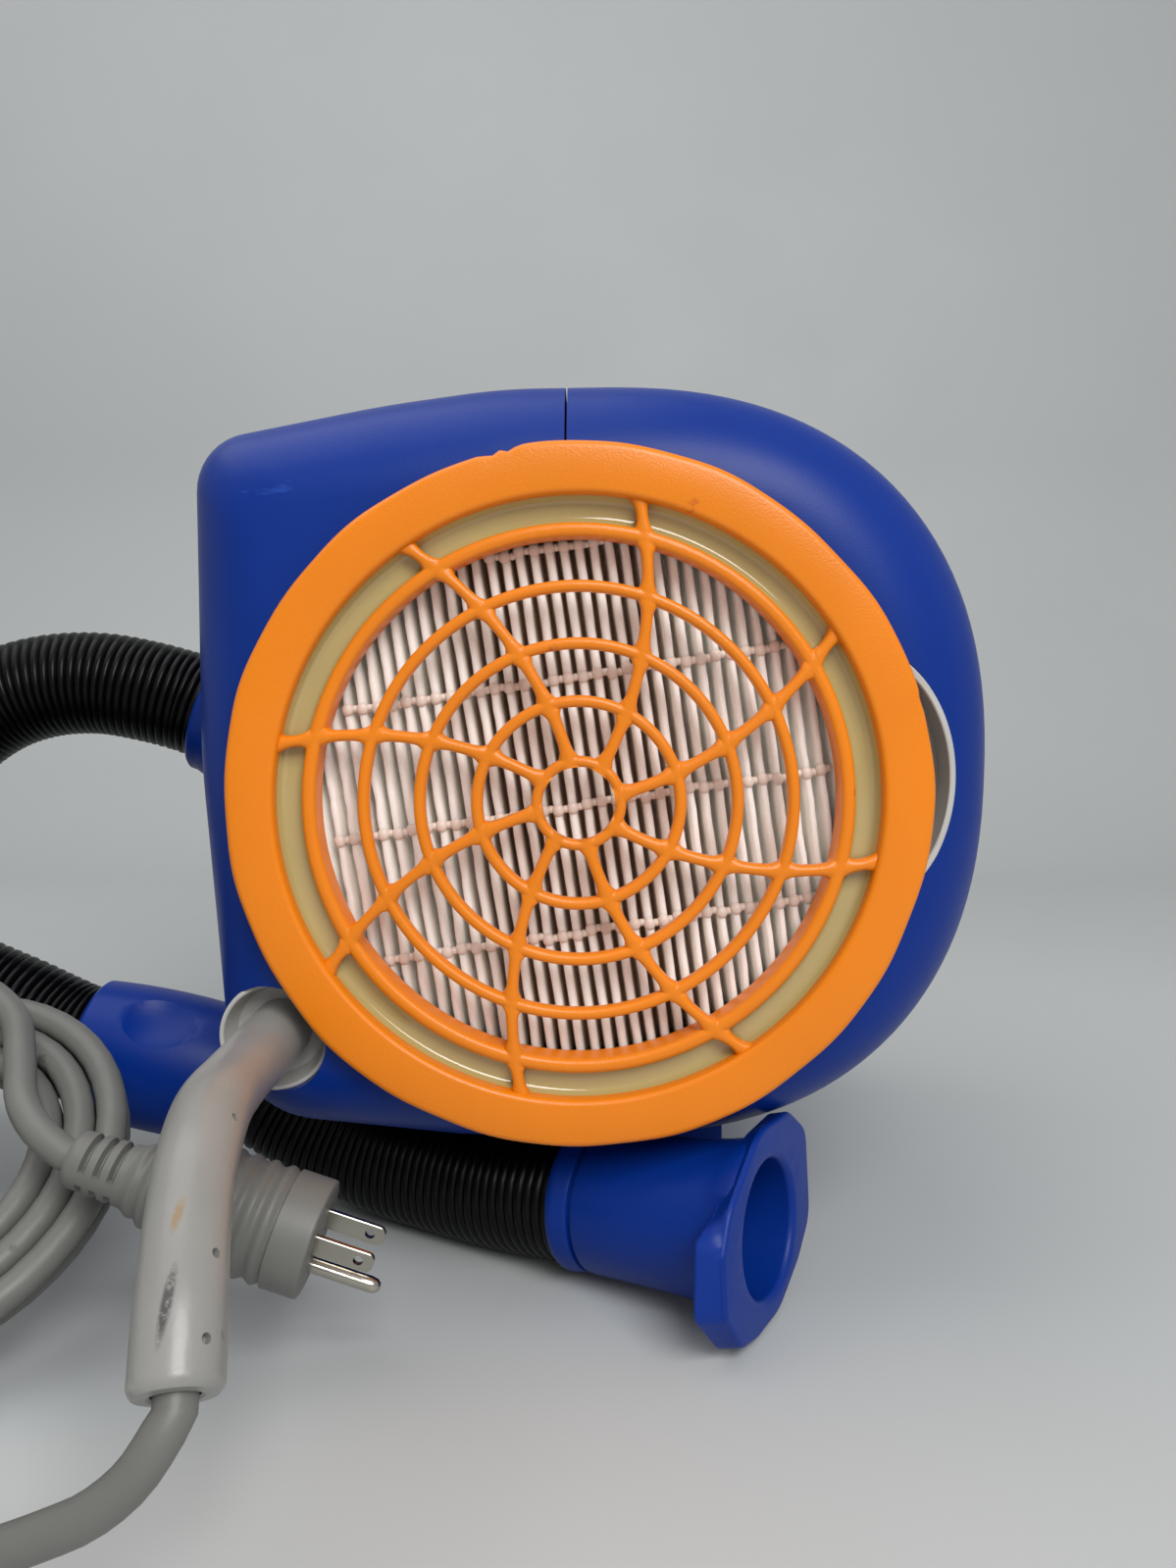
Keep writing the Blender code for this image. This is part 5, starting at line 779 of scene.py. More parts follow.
# ---------------------------------------------------------------- gland
# A light grey moulded cup pressed into the case's lower left, dished in front, with a rolled
# rim. The cord's sleeve comes out of it.
GLAND_FRONT = 0.0150
GLAND_DISH = 0.0240
GLAND_BACK = 0.0340
GLAND_SIDE = GLAND_R - 0.0002
SLEEVE_BORE = 0.0052
gland_profile = [(SLEEVE_BORE, GLAND_BACK), (SLEEVE_BORE, GLAND_DISH + 0.0010),
                 (0.0118, GLAND_DISH + 0.0010), (0.0140, GLAND_DISH), (0.0152, GLAND_DISH - 0.0022),
                 *arc((0.0169, GLAND_FRONT + 0.0008), 0.0008, 180, 360, 6),
                 (GLAND_SIDE, GLAND_FRONT + 0.0020), (GLAND_SIDE, GLAND_BACK)]
gland = link("gland", lathe("gland", gland_profile, (GLAND_X, 0, GLAND_Z), BACKWARD, 72),
             grey_plastic, "case")
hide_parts("gland_flange")

# ---------------------------------------------------------------- sleeve
# A thick vinyl sleeve that protects the cord where it leaves the case. It bends down to the
# table under its own weight; it is scuffed, stained and has three small pinholes.
SLEEVE_R = 0.0098
SLEEVE_CHAMFER = 0.0011
SLEEVE_SPACING = 0.0012
SLEEVE_ROUTE = (
    (-0.0970, 0.0257, 0.0900), (-0.0970, 0.0000, 0.0900), (-0.0963, -0.0300, 0.0915),
    (-0.0940, -0.0580, 0.0925), (-0.0895, -0.0860, 0.0860), (-0.0850, -0.1070, 0.0730),
    (-0.0820, -0.1210, 0.0580),
)
PINHOLE_R = 0.00115
PINHOLE_DEPTH = 0.0018
# columns and rows in the photograph
SLEEVE_PINHOLES = ((239, 1140), (220, 1278), (210, 1365))
SLEEVE_SCUFF = (170, 1330)
SLEEVE_STAIN = (181, 1238)


def smooth_line(points, spacing):
    """Even points on a centripetal spline through the given ones.

    Each stretch blends the straight lines through its four nearest points, twice over, with
    knots at the square roots of their distances.
    """
    pts = np.asarray(points, float)
    pts = np.vstack([2 * pts[0] - pts[1], pts, 2 * pts[-1] - pts[-2]])
    knots = np.linalg.norm(np.diff(pts, axis=0), axis=1) ** 0.5
    dense = []
    for i in range(len(pts) - 3):
        p0, p1, p2, p3 = pts[i:i + 4]
        t1, t2, t3 = np.cumsum(knots[i:i + 3])
        t = np.linspace(t1, t2, 24, endpoint=False)[:, None]
        a1 = p0 * ((t1 - t) / t1) + p1 * (t / t1)
        a2 = p1 * ((t2 - t) / (t2 - t1)) + p2 * ((t - t1) / (t2 - t1))
        a3 = p2 * ((t3 - t) / (t3 - t2)) + p3 * ((t - t2) / (t3 - t2))
        b1 = a1 * ((t2 - t) / t2) + a2 * (t / t2)
        b2 = a2 * ((t3 - t) / (t3 - t1)) + a3 * ((t - t1) / (t3 - t1))
        dense.append(b1 * ((t2 - t) / (t2 - t1)) + b2 * ((t - t1) / (t2 - t1)))
    dense = np.vstack([*dense, pts[-2]])
    length = reach_along(dense)[-1]
    return at_reaches(dense, np.linspace(0.0, length, max(2, int(round(length / spacing))) + 1))


def sweep(points, radii, sides):
    """Rings of a tube along points; radii is one radius, or one for each point.

    The first spoke starts upwards and stays square to the line, so the tube doesn't twist.
    """
    points = np.asarray(points, float)
    ways = np.gradient(points, axis=0)
    ways /= np.linalg.norm(ways, axis=1)[:, None]
    across = np.array([0.0, 0.0, 1.0])
    spokes = []
    for way in ways:
        across = unit(across - way * across.dot(way))
        spokes.append(spokes_round(across, np.cross(way, across), sides))
    return points[:, None] + np.array(spokes) * np.broadcast_to(radii, len(points))[:, None, None]


def on_tube(column, row, line, radius):
    """Where a photograph pixel's ray first meets a tube, and the outward direction there.

    The ray goes one focal length ahead and by the pixel's offset from the middle.
    """
    ahead = np.array([0.0, math.cos(PITCH), -math.sin(PITCH)])
    upward = np.array([0.0, math.sin(PITCH), math.cos(PITCH)])
    way = unit(ahead + np.array([1.0, 0, 0]) * (column - PHOTO_WIDTH / 2) / FOCAL_PIXELS
               - upward * (row - PHOTO_HEIGHT / 2) / FOCAL_PIXELS)
    places = EYE + way * np.arange(0.15, 0.60, 0.0004)[:, None]
    apart = np.linalg.norm(places[:, None] - line, axis=-1)
    place = int(np.argmax(apart.min(axis=1) < radius))
    nearest = int(np.argmin(apart[place]))
    return places[place], (places[place] - line[nearest]) / apart[place, nearest]


def spot(mat, place, centre, radii, edge):
    """A soft-edged patch round a place in object space: 1 inside, 0 outside."""
    moved = node(mat, "ShaderNodeVectorMath", {0: place, 1: tuple(centre)}, operation="SUBTRACT")
    scaled = node(mat, "ShaderNodeVectorMath", {0: moved.outputs[0], 1: tuple(1 / r for r in radii)},
                  operation="MULTIPLY")
    far = node(mat, "ShaderNodeVectorMath", {0: scaled.outputs[0]}, operation="LENGTH").outputs["Value"]
    return span(mat, far, 1.0, 1.0 - edge, 0.0, 1.0)


def add_spots(mat, spots):
    """Lay patches with broken edges over a finish; each is (centre, radii, colour, share)."""
    shader = mat.node_tree.nodes["Principled BSDF"]
    tone = shader.inputs["Base Color"].links[0].from_socket
    place = object_place(mat)
    for centre, radii, colour, share in spots:
        patch = spot(mat, place, centre, radii, 0.5)
        speckle = span(mat, noise(mat, place, 900.0, 6.0, 0.7), 0.34, 0.52, 0.0, share)
        weight = node(mat, "ShaderNodeMath", {0: patch, 1: speckle}, operation="MULTIPLY").outputs[0]
        tone = blend(mat, weight, tone, colour)
    mat.node_tree.links.new(tone, shader.inputs["Base Color"])


# The tube swells a little in waves, and closes at its end in a chamfer round the cord.
sleeve_middle = smooth_line(SLEEVE_ROUTE, SLEEVE_SPACING)
sleeve_middle[0] = (GLAND_X, GLAND_DISH + 0.0012, GLAND_Z)
sleeve_sizes = SLEEVE_R + 0.00018 * np.sin(np.arange(len(sleeve_middle)) * 0.11)
sleeve_rings = sweep(sleeve_middle, sleeve_sizes, 64)
end_spokes = (sleeve_rings[-1] - sleeve_middle[-1]) / sleeve_sizes[-1]
end_way = unit(sleeve_middle[-1] - sleeve_middle[-2])
closing = [sleeve_middle[-1] + end_way * ahead + end_spokes * radius
           for radius, ahead in ((SLEEVE_R - 0.0004, 0.0), (SLEEVE_R - SLEEVE_CHAMFER, 0.0007),
                                 (SLEEVE_BORE + 0.0008, 0.0009), (SLEEVE_BORE, 0.0004),
                                 (SLEEVE_BORE, -0.0030))]
sleeve_mesh = loft("bend_relief", np.concatenate([sleeve_rings[:-1], closing]))
sleeve_vinyl = finish_material("sleeve_vinyl", srgb(138, 137, 133), 0.30, mottle=0.04,
                               mottle_scale=50.0, grain=0.15, grain_scale=500.0,
                               marks=(srgb(108, 102, 97), 0.060, 75.0, (1.0, 1.0, 0.35)))
scuff_at, _ = on_tube(*SLEEVE_SCUFF, sleeve_middle, SLEEVE_R)
stain_at, _ = on_tube(*SLEEVE_STAIN, sleeve_middle, SLEEVE_R)
add_spots(sleeve_vinyl, [
    (scuff_at + ORIGIN, (0.0015, 0.008, 0.0125), srgb(70, 66, 66), 0.9),
    (stain_at + ORIGIN, (0.0014, 0.006, 0.0040), srgb(140, 112, 72), 0.8),
])
sleeve = link("sleeve", sleeve_mesh, sleeve_vinyl, "case")
pinholes = []
for column, row in SLEEVE_PINHOLES:
    hole_at, hole_way = on_tube(column, row, sleeve_middle, SLEEVE_R)
    pinholes.append(cylinder(PINHOLE_R, hole_at - hole_way * PINHOLE_DEPTH, hole_way, 0.004, 16))
cut(sleeve, pinholes)
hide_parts("bend_relief")

# ---------------------------------------------------------------- mains cord
# One grey vinyl cord, 9.5 mm thick: a run from the sleeve on the case, a coil of two layers
# that leans on the hose, and a lead to the plug. It was wound by hand, tied and dropped there.
CORD_R = 0.00475
CORD_SIDES = 20
CORD_STRAIGHT = 0.0065
RUN_ROUTE = (
    (-0.0840, -0.1260, 0.0510), (-0.0890, -0.1280, 0.0440), (-0.0970, -0.1290, 0.0375),
    (-0.1060, -0.1285, 0.0330), (-0.1210, -0.1260, 0.0260), (-0.1410, -0.1190, 0.0160),
    (-0.1580, -0.1060, 0.0090), (-0.1690, -0.0880, 0.0059), (-0.1780, -0.0680, 0.0055),
    (-0.1920, -0.0520, 0.0053),
)
LEAD_ROUTE = (
    (-0.2726, 0.0332, 0.0757), (-0.2465, 0.0503, 0.0944), (-0.2120, 0.0473, 0.0990),
    (-0.1875, 0.0306, 0.0922), (-0.1760, 0.0105, 0.0832), (-0.1680, -0.0055, 0.0762),
    (-0.1590, -0.0140, 0.0700),
)
PLUG_TAIL = np.array([-0.1480, -0.0170, 0.0640])
PLUG_FACE = np.array([-0.0760, -0.0205, 0.0406])
PLUG_WAY = unit(PLUG_FACE - PLUG_TAIL)
COIL_CENTRE = np.array([-0.2120, 0.0125, 0.0441])
COIL_TILT = math.radians(35.0)
COIL_R = 0.0680
COIL_PITCH = 0.0101
COIL_LOOPS = 6.25
COIL_POINTS = 48


def cord_between(start, start_way, route, stop, stop_way, spacing=0.004):
    """Points of a cord that leaves and arrives straight."""
    inner = [start + start_way * CORD_STRAIGHT, *np.asarray(route), stop - stop_way * CORD_STRAIGHT]
    return np.vstack([start, smooth_line(inner, spacing), stop])


# The coil is a flat spiral on a tilted plane: inwards by a pitch each turn to half way, then up
# by a pitch and outwards again.
uphill = np.array([0.0, math.cos(COIL_TILT), math.sin(COIL_TILT)])
off_plane = np.array([0.0, -math.sin(COIL_TILT), math.cos(COIL_TILT)])
turns = np.linspace(0, COIL_LOOPS, int(COIL_LOOPS * COIL_POINTS) + 1)[:, None]
coil_radius = COIL_R - COIL_PITCH * np.minimum(turns, COIL_LOOPS - turns)
coil_climb = np.clip((turns - COIL_LOOPS / 2 + 0.25) / 0.5, 0, 1) * COIL_PITCH
coil_turn = -math.pi / 2 - 2 * math.pi * turns
coil_line = (COIL_CENTRE + off_plane * coil_climb
             + np.array([1.0, 0.0, 0.0]) * coil_radius * np.cos(coil_turn)
             + uphill * coil_radius * np.sin(coil_turn))
sleeve_line = smooth_line(SLEEVE_ROUTE, 0.003)
sleeve_way = unit(sleeve_line[-1] - sleeve_line[-2])
run_line = cord_between(sleeve_line[-1] - sleeve_way * 0.003, sleeve_way, RUN_ROUTE, coil_line[0],
                        unit(coil_line[1] - coil_line[0]))
lead_line = cord_between(coil_line[-1], unit(coil_line[-1] - coil_line[-2]), LEAD_ROUTE,
                         PLUG_TAIL + PLUG_WAY * 0.004, PLUG_WAY)
cord_line = np.vstack([run_line, coil_line[1:], lead_line[1:]])
grey_vinyl = finish_material("grey_vinyl", srgb(106, 106, 102), 0.46, mottle=0.05, grain=0.12,
                             marks=(srgb(74, 70, 66), 0.095, 60.0, (1.0, 1.0, 1.0)))
cord_look = link("mains_cord", loft("mains_cord", sweep(cord_line, CORD_R, CORD_SIDES)), grey_vinyl,
                 "case")
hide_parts("power_cord_run", "power_cord_coil", "power_cord_lead")
paint(grey_vinyl, "mains_lead")
paint(black_rubber, "cord_tie")

# ---------------------------------------------------------------- plug
# A grey moulded plug on the cord's end: a slotted tail, finger rings that step out, and a plain
# round face with two flat nickel-plated blades and a ground pin below them.
PLUG_ROLL = math.radians(8.0)
PLUG_R = 0.0170
PLUG_LENGTH = float(np.linalg.norm(PLUG_FACE - PLUG_TAIL))
PLUG_SIDES = 96
TAIL_ROUND = 0.0020
TAIL_END = 0.0185
SWELL_END = 0.0430
RINGS_END = 0.0645
FACE_ROUND = 0.0010
TAIL_SLOTS = (0.0060, 0.0105, 0.0150)
SLOT_HALF = 0.0006
SLOT_DEPTH = 0.0019
BRIDGE_TOP = 78               # degrees from the top between which the slots leave a bridge
BRIDGE_LOW = 108
BLADE_LENGTH = 0.0180
BLADE_WIDTH = 0.0063
BLADE_THICK = 0.0015
BLADE_SPACING = 0.0127
BLADE_RISE = 0.0030           # above the middle of the face
BLADE_ROOT = 0.002            # inside the face
BLADE_HOLE_R = 0.0015
PIN_R = 0.0024
PIN_LENGTH = 0.0215
PIN_DROP = 0.0119             # below the blades
plug_along, level_side, plug_third = unit_frame(PLUG_WAY)
plug_side = level_side * math.cos(PLUG_ROLL) + plug_third * math.sin(PLUG_ROLL)
plug_up = plug_third * math.cos(PLUG_ROLL) - level_side * math.sin(PLUG_ROLL)


def plug_radius(reach):
    """Radius of the plug's body at reaches from its tail.

    A rounded start, a slowly growing tail, a swelling with five waves, a straight part with four
    waves, and a plain end whose edge is a quarter circle.
    """
    swell = np.clip((reach - TAIL_END) / (SWELL_END - TAIL_END), 0, 1)
    ridge = 0.0006 * np.cos(5 * 2 * math.pi * swell) * np.minimum(1.0, swell * 6)
    past = np.clip((reach - PLUG_LENGTH + FACE_ROUND) / FACE_ROUND, 0, 1)
    return np.select(
        [reach < TAIL_ROUND, reach < TAIL_END, reach < SWELL_END, reach < RINGS_END],
        [0.0074 + 0.0010 * np.sin(reach / TAIL_ROUND * math.pi / 2),
         0.0084 + 0.0008 * (reach - TAIL_ROUND) / (TAIL_END - TAIL_ROUND),
         0.0092 + 0.0070 * swell ** 0.8 - ridge,
         0.0165 - 0.0006 * np.cos(4 * 2 * math.pi * (reach - SWELL_END) / (RINGS_END - SWELL_END))],
        PLUG_R - FACE_ROUND * (1 - np.sqrt(1 - past ** 2)))


plug_marks = np.append(np.arange(0, PLUG_LENGTH - FACE_ROUND - 0.0002, 0.00045),
                       np.linspace(PLUG_LENGTH - FACE_ROUND, PLUG_LENGTH, 5))[:, None]
from_top = 180 - np.abs(np.linspace(0, 360, PLUG_SIDES, endpoint=False) - 180)
slotted = (from_top < BRIDGE_TOP) | (from_top > BRIDGE_LOW)
plug_sizes = plug_radius(plug_marks) + 0.0 * from_top
for slot_at in TAIL_SLOTS:
    plug_sizes -= SLOT_DEPTH * np.clip(1.6 - np.abs(plug_marks - slot_at) / SLOT_HALF, 0, 1) * slotted
plug_rings = (PLUG_TAIL + plug_along * plug_marks[:, :, None]
              + spokes_round(plug_up, plug_side, PLUG_SIDES) * plug_sizes[:, :, None])
plug = link("plug", loft("plug", plug_rings), grey_vinyl, "case")
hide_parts("plug_body")

nickel = finish_material("nickel", srgb(178, 175, 164), 0.22, metallic=1.0, mottle=0.04,
                         mottle_scale=120.0, grain=0.01, wear=0.2)
blade_half = BLADE_WIDTH / 2
blade_line = rounded([(-BLADE_ROOT, -blade_half), (BLADE_LENGTH, -blade_half),
                      (BLADE_LENGTH, blade_half), (-BLADE_ROOT, blade_half)],
                     [0.0, 0.0022, 0.0022, 0.0], 6)
for name, side in (("plug_blade_left", 1), ("plug_blade_right", -1)):
    base = PLUG_FACE + plug_side * (side * BLADE_SPACING / 2) + plug_up * BLADE_RISE
    blade_rings = [base + plug_along * np.minimum(blade_line[:, :1], BLADE_LENGTH - inset)
                   + plug_up * (blade_line[:, 1:] * (1 - inset / blade_half))
                   + plug_side * (thick * BLADE_THICK)
                   for thick, inset in ((-0.5, 0.0002), (-0.38, 0.0), (0.38, 0.0), (0.5, 0.0002))]
    blade = link(name + "_look", loft(name + "_look", blade_rings), nickel, "case")
    hole_at = base + plug_along * (BLADE_LENGTH - 0.0045) - plug_side * 0.01
    cut(blade, [cylinder(BLADE_HOLE_R, hole_at, plug_side, 0.02, 32)])
    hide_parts(name)

# The pin is a round bar, a little flat below, whose end narrows in three steps.
pin_bearing = np.linspace(0, 2 * math.pi, 32, endpoint=False)[:, None]
pin_spokes = (plug_side * np.cos(pin_bearing)
              + plug_up * np.sin(pin_bearing) * np.where(pin_bearing < math.pi, 1.0, 0.9))
pin_base = PLUG_FACE + plug_up * (BLADE_RISE - PIN_DROP)
pin_rings = [pin_base + plug_along * reach + pin_spokes * (PIN_R * size)
             for reach, size in ((-BLADE_ROOT, 1.0), (PIN_LENGTH - 0.0030, 1.0),
                                 (PIN_LENGTH - 0.0012, 0.86), (PIN_LENGTH - 0.0003, 0.55),
                                 (PIN_LENGTH, 0.30))]
pin = link("ground_pin", loft("ground_pin", pin_rings, "caps", 50), nickel, "case")
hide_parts("plug_ground_pin")

# ---------------------------------------------------------------- hose
# A black corrugated vacuum-type hose of 44 mm with ribs 3.5 mm apart, soft enough to lie in a
# wide loop on the table; it runs through the blue grip to the nozzle.
HOSE_R = 0.0220
HOSE_GROOVE = 0.0013
HOSE_PITCH = 0.0035
HOSE_SIDES = 30
HOSE_STRAIGHT = 0.0100
CUFF_RISE = math.radians(20.0)
CUFF_END = np.array([-0.1620, 0.1650, 0.1890])
GRIP_CENTRE = np.array([-0.1595, 0.0942, 0.0552])
GRIP_FALL = math.radians(12.9)
NOZZLE_START = np.array([0.0001, 0.0413, 0.0251])
NOZZLE_FACE = np.array([0.0605, 0.0065, 0.0305])
NOZZLE_LENGTH = float(np.linalg.norm(NOZZLE_FACE - NOZZLE_START))
NOZZLE_WAY = unit(NOZZLE_FACE - NOZZLE_START)
HOSE_ROUTE = (
    (-0.1860, 0.1640, 0.1965), (-0.2090, 0.1630, 0.2005), (-0.2320, 0.1610, 0.1990),
    (-0.2520, 0.1585, 0.1920), (-0.2720, 0.1550, 0.1770), (-0.2890, 0.1500, 0.1530),
    (-0.3010, 0.1455, 0.1220), (-0.3090, 0.1390, 0.0950), (-0.3150, 0.1300, 0.0700),
    (-0.3190, 0.1150, 0.0490), (-0.3215, 0.0940, 0.0340), (-0.3220, 0.0660, 0.0255),
    (-0.3205, 0.0350, 0.0225), (-0.3200, -0.0000, 0.0223), (-0.3388, -0.0700, 0.0223),
    (-0.3900, -0.1212, 0.0223), (-0.4600, -0.1400, 0.0223), (-0.5300, -0.1212, 0.0223),
    (-0.5812, -0.0700, 0.0223), (-0.6000, -0.0000, 0.0223), (-0.5812, 0.0700, 0.0223),
    (-0.5300, 0.1212, 0.0223), (-0.4600, 0.1400, 0.0223), (-0.4210, 0.1320, 0.0290),
    (-0.3840, 0.1120, 0.0520), (-0.3480, 0.0950, 0.0800), (-0.3080, 0.0870, 0.0980),
    (-0.2660, 0.0910, 0.0940), (-0.2230, 0.0950, 0.0760), (-0.2040, 0.0950, 0.0670),
)
AFTER_GRIP = (
    (-0.1180, 0.0925, 0.0430), (-0.1080, 0.0910, 0.0375), (-0.0920, 0.0870, 0.0300),
    (-0.0730, 0.0800, 0.0245), (-0.0500, 0.0695, 0.0224), (-0.0280, 0.0575, 0.0224),
)
# where in a rib's pitch its points lie, and how far each drops to the groove
RIB_SHARE = np.array([0.00, 0.18, 0.36, 0.64, 0.82])
RIB_DROP = np.array([1.00, 0.25, 0.00, 0.00, 0.25])

cuff_way = np.array([-math.cos(CUFF_RISE), 0.0, math.sin(CUFF_RISE)])
grip_way = np.array([math.cos(GRIP_FALL), 0.0, -math.sin(GRIP_FALL)])
through_grip = [GRIP_CENTRE + grip_way * reach for reach in (-0.036, -0.012, 0.012, 0.036)]
hose_middle = [CUFF_END + cuff_way * HOSE_STRAIGHT, *HOSE_ROUTE, *through_grip, *AFTER_GRIP,
               NOZZLE_START - NOZZLE_WAY * HOSE_STRAIGHT]
hose_coarse = np.vstack([CUFF_END, smooth_line(hose_middle, 0.001), NOZZLE_START])
hose_length = float(reach_along(hose_coarse)[-1])
rib_count = int(round(hose_length / HOSE_PITCH))
rib_marks = np.append((np.arange(rib_count)[:, None] + RIB_SHARE) / rib_count, 1.0)
hose_line = at_reaches(hose_coarse, rib_marks * hose_length)
for _ in range(2):
    hose_line[1:-1] = (hose_line[:-2] + 2 * hose_line[1:-1] + hose_line[2:]) / 4
hose_sizes = HOSE_R - HOSE_GROOVE * np.append(np.tile(RIB_DROP, rib_count), 1.0)
black_hose = finish_material("black_hose", srgb(4, 4, 5), 0.33, gloss=0.16, mottle=0.10, grain=0.10)
hose_look = link("ribbed_hose", loft("ribbed_hose", sweep(hose_line, hose_sizes, HOSE_SIDES), "caps", 75.0),
                 black_hose, "case")
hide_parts("hose")

# ---------------------------------------------------------------- hose cuff
# A short blue moulded elbow that plugs over the grey outlet spigot and holds the hose.
SPIGOT_REACH = 0.1360
CUFF_R = 0.0265
CUFF_EDGE = 0.0012
CUFF_EDGE_REACH = 0.0014
HOSE_FIT = HOSE_R + 0.0004    # bore of what sits on the hose
cuff_line = smooth_line([(-SPIGOT_REACH, SPIGOT_Y, SPIGOT_Z), (-SPIGOT_REACH - 0.009, SPIGOT_Y, SPIGOT_Z),
                         CUFF_END - cuff_way * 0.008, CUFF_END], 0.0010)
cuff_reach = np.linspace(0, reach_along(cuff_line)[-1], len(cuff_line))
from_end = np.minimum(cuff_reach, cuff_reach[-1] - cuff_reach)
cuff_sizes = CUFF_R - CUFF_EDGE * np.clip(1 - from_end / CUFF_EDGE_REACH, 0, 1) ** 2
cuff_rings = np.concatenate([sweep(cuff_line, cuff_sizes, 72), sweep(cuff_line, HOSE_FIT, 72)[::-1]])
cuff = link("cuff", loft("cuff", cuff_rings, "join"), blue, "case")
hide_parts("hose_cuff")

# ---------------------------------------------------------------- grip
# A blue moulded grip that slides on the hose, slightly barrelled, with a thumb scoop on top.
GRIP_HALF = 0.0305
GRIP_R = 0.0268
GRIP_BARREL = 0.0016
GRIP_EDGE = 0.0014
SCOOP_R = 0.0300
SCOOP_DEPTH = 0.0038
SCOOP_AHEAD = 0.002
SCOOP_WAY = unit([0.10, -0.62, 0.78])
SCOOP_END = 90 - math.degrees(0.02)        # the ball's ends are left open by this much
edge_centre = (GRIP_R - 0.0030, GRIP_HALF - GRIP_EDGE)
barrel = np.linspace(-1, 1, 17)
grip_profile = [(HOSE_FIT, -GRIP_HALF + 0.001),
                *arc((edge_centre[0], -edge_centre[1]), GRIP_EDGE, 180, 270, 4),
                *zip(GRIP_R - GRIP_BARREL * barrel ** 2, GRIP_HALF * barrel * 0.955),
                *arc(edge_centre, GRIP_EDGE, 90, 180, 4), (HOSE_FIT, GRIP_HALF - 0.001)]
grip = link("grip", lathe("grip", grip_profile, GRIP_CENTRE, grip_way, 96), blue, "case")
scoop_at = GRIP_CENTRE + grip_way * SCOOP_AHEAD + SCOOP_WAY * (GRIP_R + SCOOP_R - SCOOP_DEPTH)
cut(grip, [lathe("scoop", arc((0, 0), SCOOP_R, -SCOOP_END, SCOOP_END, 39), scoop_at, SCOOP_WAY, 96,
                 "caps")])
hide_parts("hose_grip")

# ---------------------------------------------------------------- nozzle
# A blue moulded nozzle: a collar that clamps the hose, a tube that widens a little, and a thick
# plate with a flat foot on one side and a worn ear next to it. Its mouth has a rounded edge.
PLATE_THICK = 0.0075
PLATE_EDGE = 0.0016
PLATE_BACK_EDGE = 0.0010
MOUTH_EDGE = 0.0024
NOZZLE_BORE = 0.0212
TUBE_BORE = NOZZLE_BORE - 0.0001
PLATE_FRONT = np.array([
    (0.0360, -0.0100), (0.0370, 0.0200), (0.0230, 0.0305), (-0.0030, 0.0325), (-0.0290, 0.0170),
    (-0.0360, 0.0060), (-0.0370, -0.0120), (-0.0270, -0.0260), (-0.0150, -0.0286),
    (0.0040, -0.0286), (0.0230, -0.0200)])
PLATE_BACK = np.array([
    (0.0360, -0.0100), (0.0370, 0.0200), (0.0230, 0.0295), (-0.0020, 0.0290), (-0.0270, 0.0140),
    (-0.0400, 0.0115), (-0.0440, -0.0100), (-0.0290, -0.0262), (-0.0150, -0.0288),
    (0.0040, -0.0288), (0.0230, -0.0202)])
PLATE_RADII = (0.012, 0.008, 0.010, 0.020, 0.014, 0.003, 0.005, 0.007, 0.010, 0.020, 0.020)
PLATE_R = 0.034               # about half its width, for drawing its outline in
PLATE_POINTS = 200
TUBE_PROFILE = (
    (0.0223, 0.0006), (0.0232, 0.0), (0.0238, 0.0008), (0.0241, 0.0022), (0.0239, 0.0038),
    (0.0235, 0.0052), (0.0234, 0.0070), (0.0230, 0.0078), (0.0216, 0.0082), (0.0216, 0.0092),
    (0.0232, 0.0098), (0.0235, 0.0120), (0.0240, 0.0300), (0.0247, 0.0440), (0.0257, 0.0540),
    (0.0268, 0.0600), (0.0290, 0.0650), (0.0290, NOZZLE_LENGTH - 0.0030),
    (TUBE_BORE, NOZZLE_LENGTH - 0.0030), (TUBE_BORE, 0.0070), (0.0223, 0.0070))
_, nozzle_side, nozzle_up = unit_frame(NOZZLE_WAY)


def plate_ring(to_front, inset, depth):
    """A ring of the plate, part way from its back outline to its front one.

    It is drawn in towards its middle by an inset, at a depth behind the face.
    """
    corners = PLATE_BACK * (1 - to_front) + PLATE_FRONT * to_front
    points = even(rounded(corners, PLATE_RADII, 8), PLATE_POINTS)
    middle = points.mean(axis=0)
    points = middle + (points - middle) * (1 - inset / PLATE_R)
    return (NOZZLE_FACE - NOZZLE_WAY * depth + points[:, :1] * nozzle_side
            + points[:, 1:] * nozzle_up)


plate_rings = [plate_ring(0, 0.0008, PLATE_THICK), plate_ring(0, 0.0002, PLATE_THICK - 0.0003),
               plate_ring(0, 0.0, PLATE_THICK - PLATE_BACK_EDGE)]
for share in (0.25, 0.5, 0.75):
    depth = (PLATE_THICK - PLATE_BACK_EDGE) * (1 - share) + PLATE_EDGE * share
    plate_rings.append(plate_ring(share, 0.0, depth))
for turn in np.linspace(0, math.pi / 2, 6):
    plate_rings.append(plate_ring(1, PLATE_EDGE * (1 - math.cos(turn)),
                                  PLATE_EDGE * (1 - math.sin(turn))))
nozzle = link("nozzle_look", lathe("nozzle_look", TUBE_PROFILE, NOZZLE_START, NOZZLE_WAY, 96), blue,
              "case")
cut(nozzle, [loft("plate", plate_rings)], "UNION")
mouth_turn = np.linspace(0.15, math.pi / 2, 7)
mouth = [(0.0005, -0.030), (NOZZLE_BORE, -0.030), (NOZZLE_BORE, -MOUTH_EDGE),
         *zip(NOZZLE_BORE + MOUTH_EDGE * (1 - np.cos(mouth_turn)),
              -MOUTH_EDGE * (1 - np.sin(mouth_turn))),
         (NOZZLE_BORE + MOUTH_EDGE, 0.003), (0.0005, 0.003)]
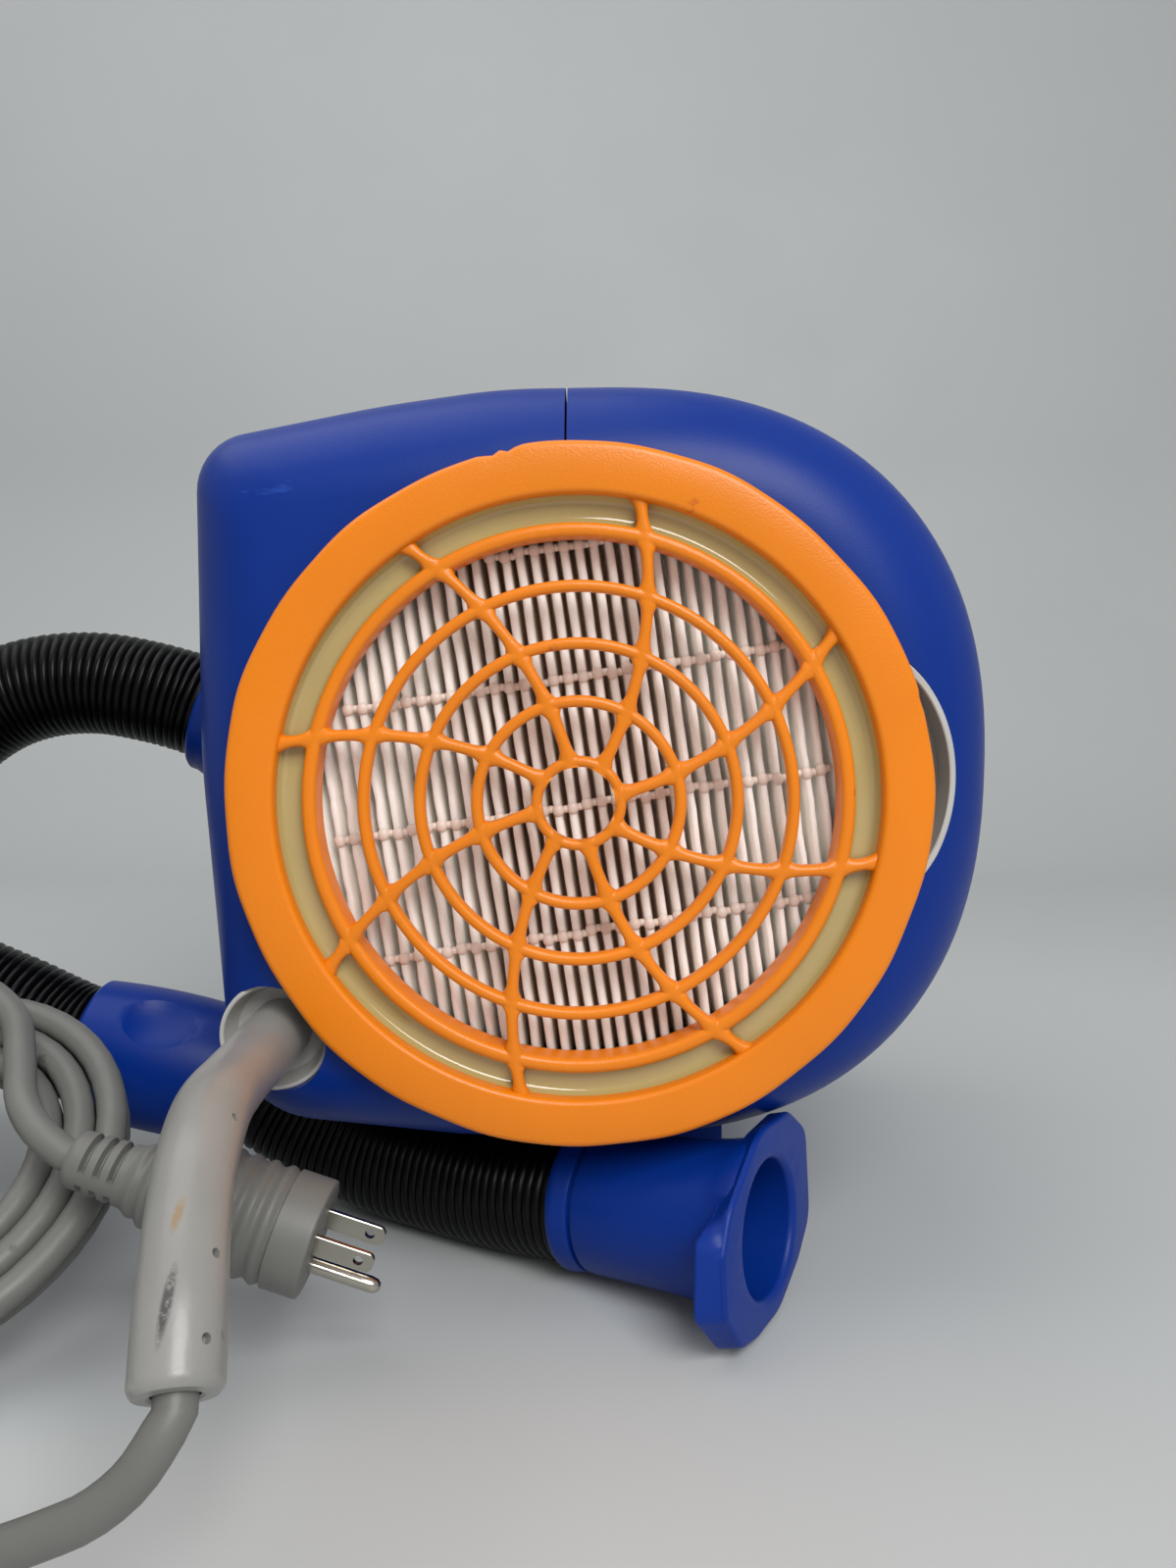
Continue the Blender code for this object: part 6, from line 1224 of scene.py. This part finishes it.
cut(nozzle, [lathe("mouth", mouth, NOZZLE_FACE, NOZZLE_WAY, 96, "caps")])
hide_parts("nozzle")

# ---------------------------------------------------------------- controls on the back
# A light grey panel with a rocker switch, three lamps and a knob on its spindle, and behind it
# a green circuit board.
panel_grey = finish_material("panel_grey", srgb(192, 192, 188), 0.50)
board_green = finish_material("board_green", srgb(26, 110, 62), 0.45)
lamp_green = finish_material("lamp_green", srgb(70, 200, 110), 0.15)
lamp_red = finish_material("lamp_red", srgb(210, 50, 44), 0.15)
paint(panel_grey, "control_panel")
soften(0.0006, "control_panel")
paint(black_plastic, "switch_bezel", "power_rocker", "temperature_knob")
soften(0.0004, "switch_bezel", "power_rocker")
paint(steel, "knob_spindle")
paint(board_green, "control_board")
paint(lamp_green, "indicator_lamp_1", "indicator_lamp_2")
paint(lamp_red, "indicator_lamp_3")

# ---------------------------------------------------------------- table, wall and lamps
# A pale table top that curves up into a wall behind the dryer, as one painted sheet. Two large
# soft lamps and an even sky light it.
FLOOR_HALF = 3.0
WALL_Y = 1.30
WALL_TOP = 3.0
WALL_BEND = 0.50
KEY_LAMP = ((-0.60, 0.15, 1.60), (0.00, 0.10, 0.10), 1.5, 9.0)       # place, target, size, power
FILL_LAMP = ((0.45, -1.20, 1.25), (0.05, 0.10, 0.15), 0.9, 24.0)
SKY_STRENGTH = 0.42
sheet_line = [(-FLOOR_HALF, 0.0), *arc((WALL_Y - WALL_BEND, WALL_BEND), WALL_BEND, -90, 0, 24),
              (WALL_Y, WALL_TOP)]
sheet_points = [(x, y, z) for y, z in sheet_line for x in (-FLOOR_HALF, FLOOR_HALF)]
sheet_faces = [(2 * i, 2 * i + 1, 2 * i + 3, 2 * i + 2) for i in range(len(sheet_line) - 1)]
floor_paint = finish_material("floor_paint", srgb(184, 187, 187), 0.55, mottle=0.015,
                              mottle_scale=3.0, grain=0.05, grain_scale=300.0)
floor = link("floor", to_mesh("floor", sheet_points, sheet_faces, 60.0), floor_paint)
floor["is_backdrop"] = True
for name, (place, target, size, power) in (("key", KEY_LAMP), ("fill", FILL_LAMP)):
    lamp = bpy.data.lights.new(name, "AREA")
    lamp.size = size
    lamp.energy = power
    lamp_object = bpy.data.objects.new(name, lamp)
    lamp_object.location = Vector(np.array(place) + ORIGIN)
    lamp_object.rotation_euler = Vector(np.subtract(target, place)).to_track_quat("-Z", "Y").to_euler()
    bpy.context.scene.collection.objects.link(lamp_object)
world = bpy.data.worlds.new("studio")
world.use_nodes = True
world.node_tree.nodes["Background"].inputs["Color"].default_value = (1.0, 1.0, 1.0, 1.0)
world.node_tree.nodes["Background"].inputs["Strength"].default_value = SKY_STRENGTH
bpy.context.scene.world = world

size = {"packed": [list(packed_low), list(packed_high)]}
shown_low, shown_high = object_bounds()
size["shown"] = [list(shown_low), list(shown_high)]
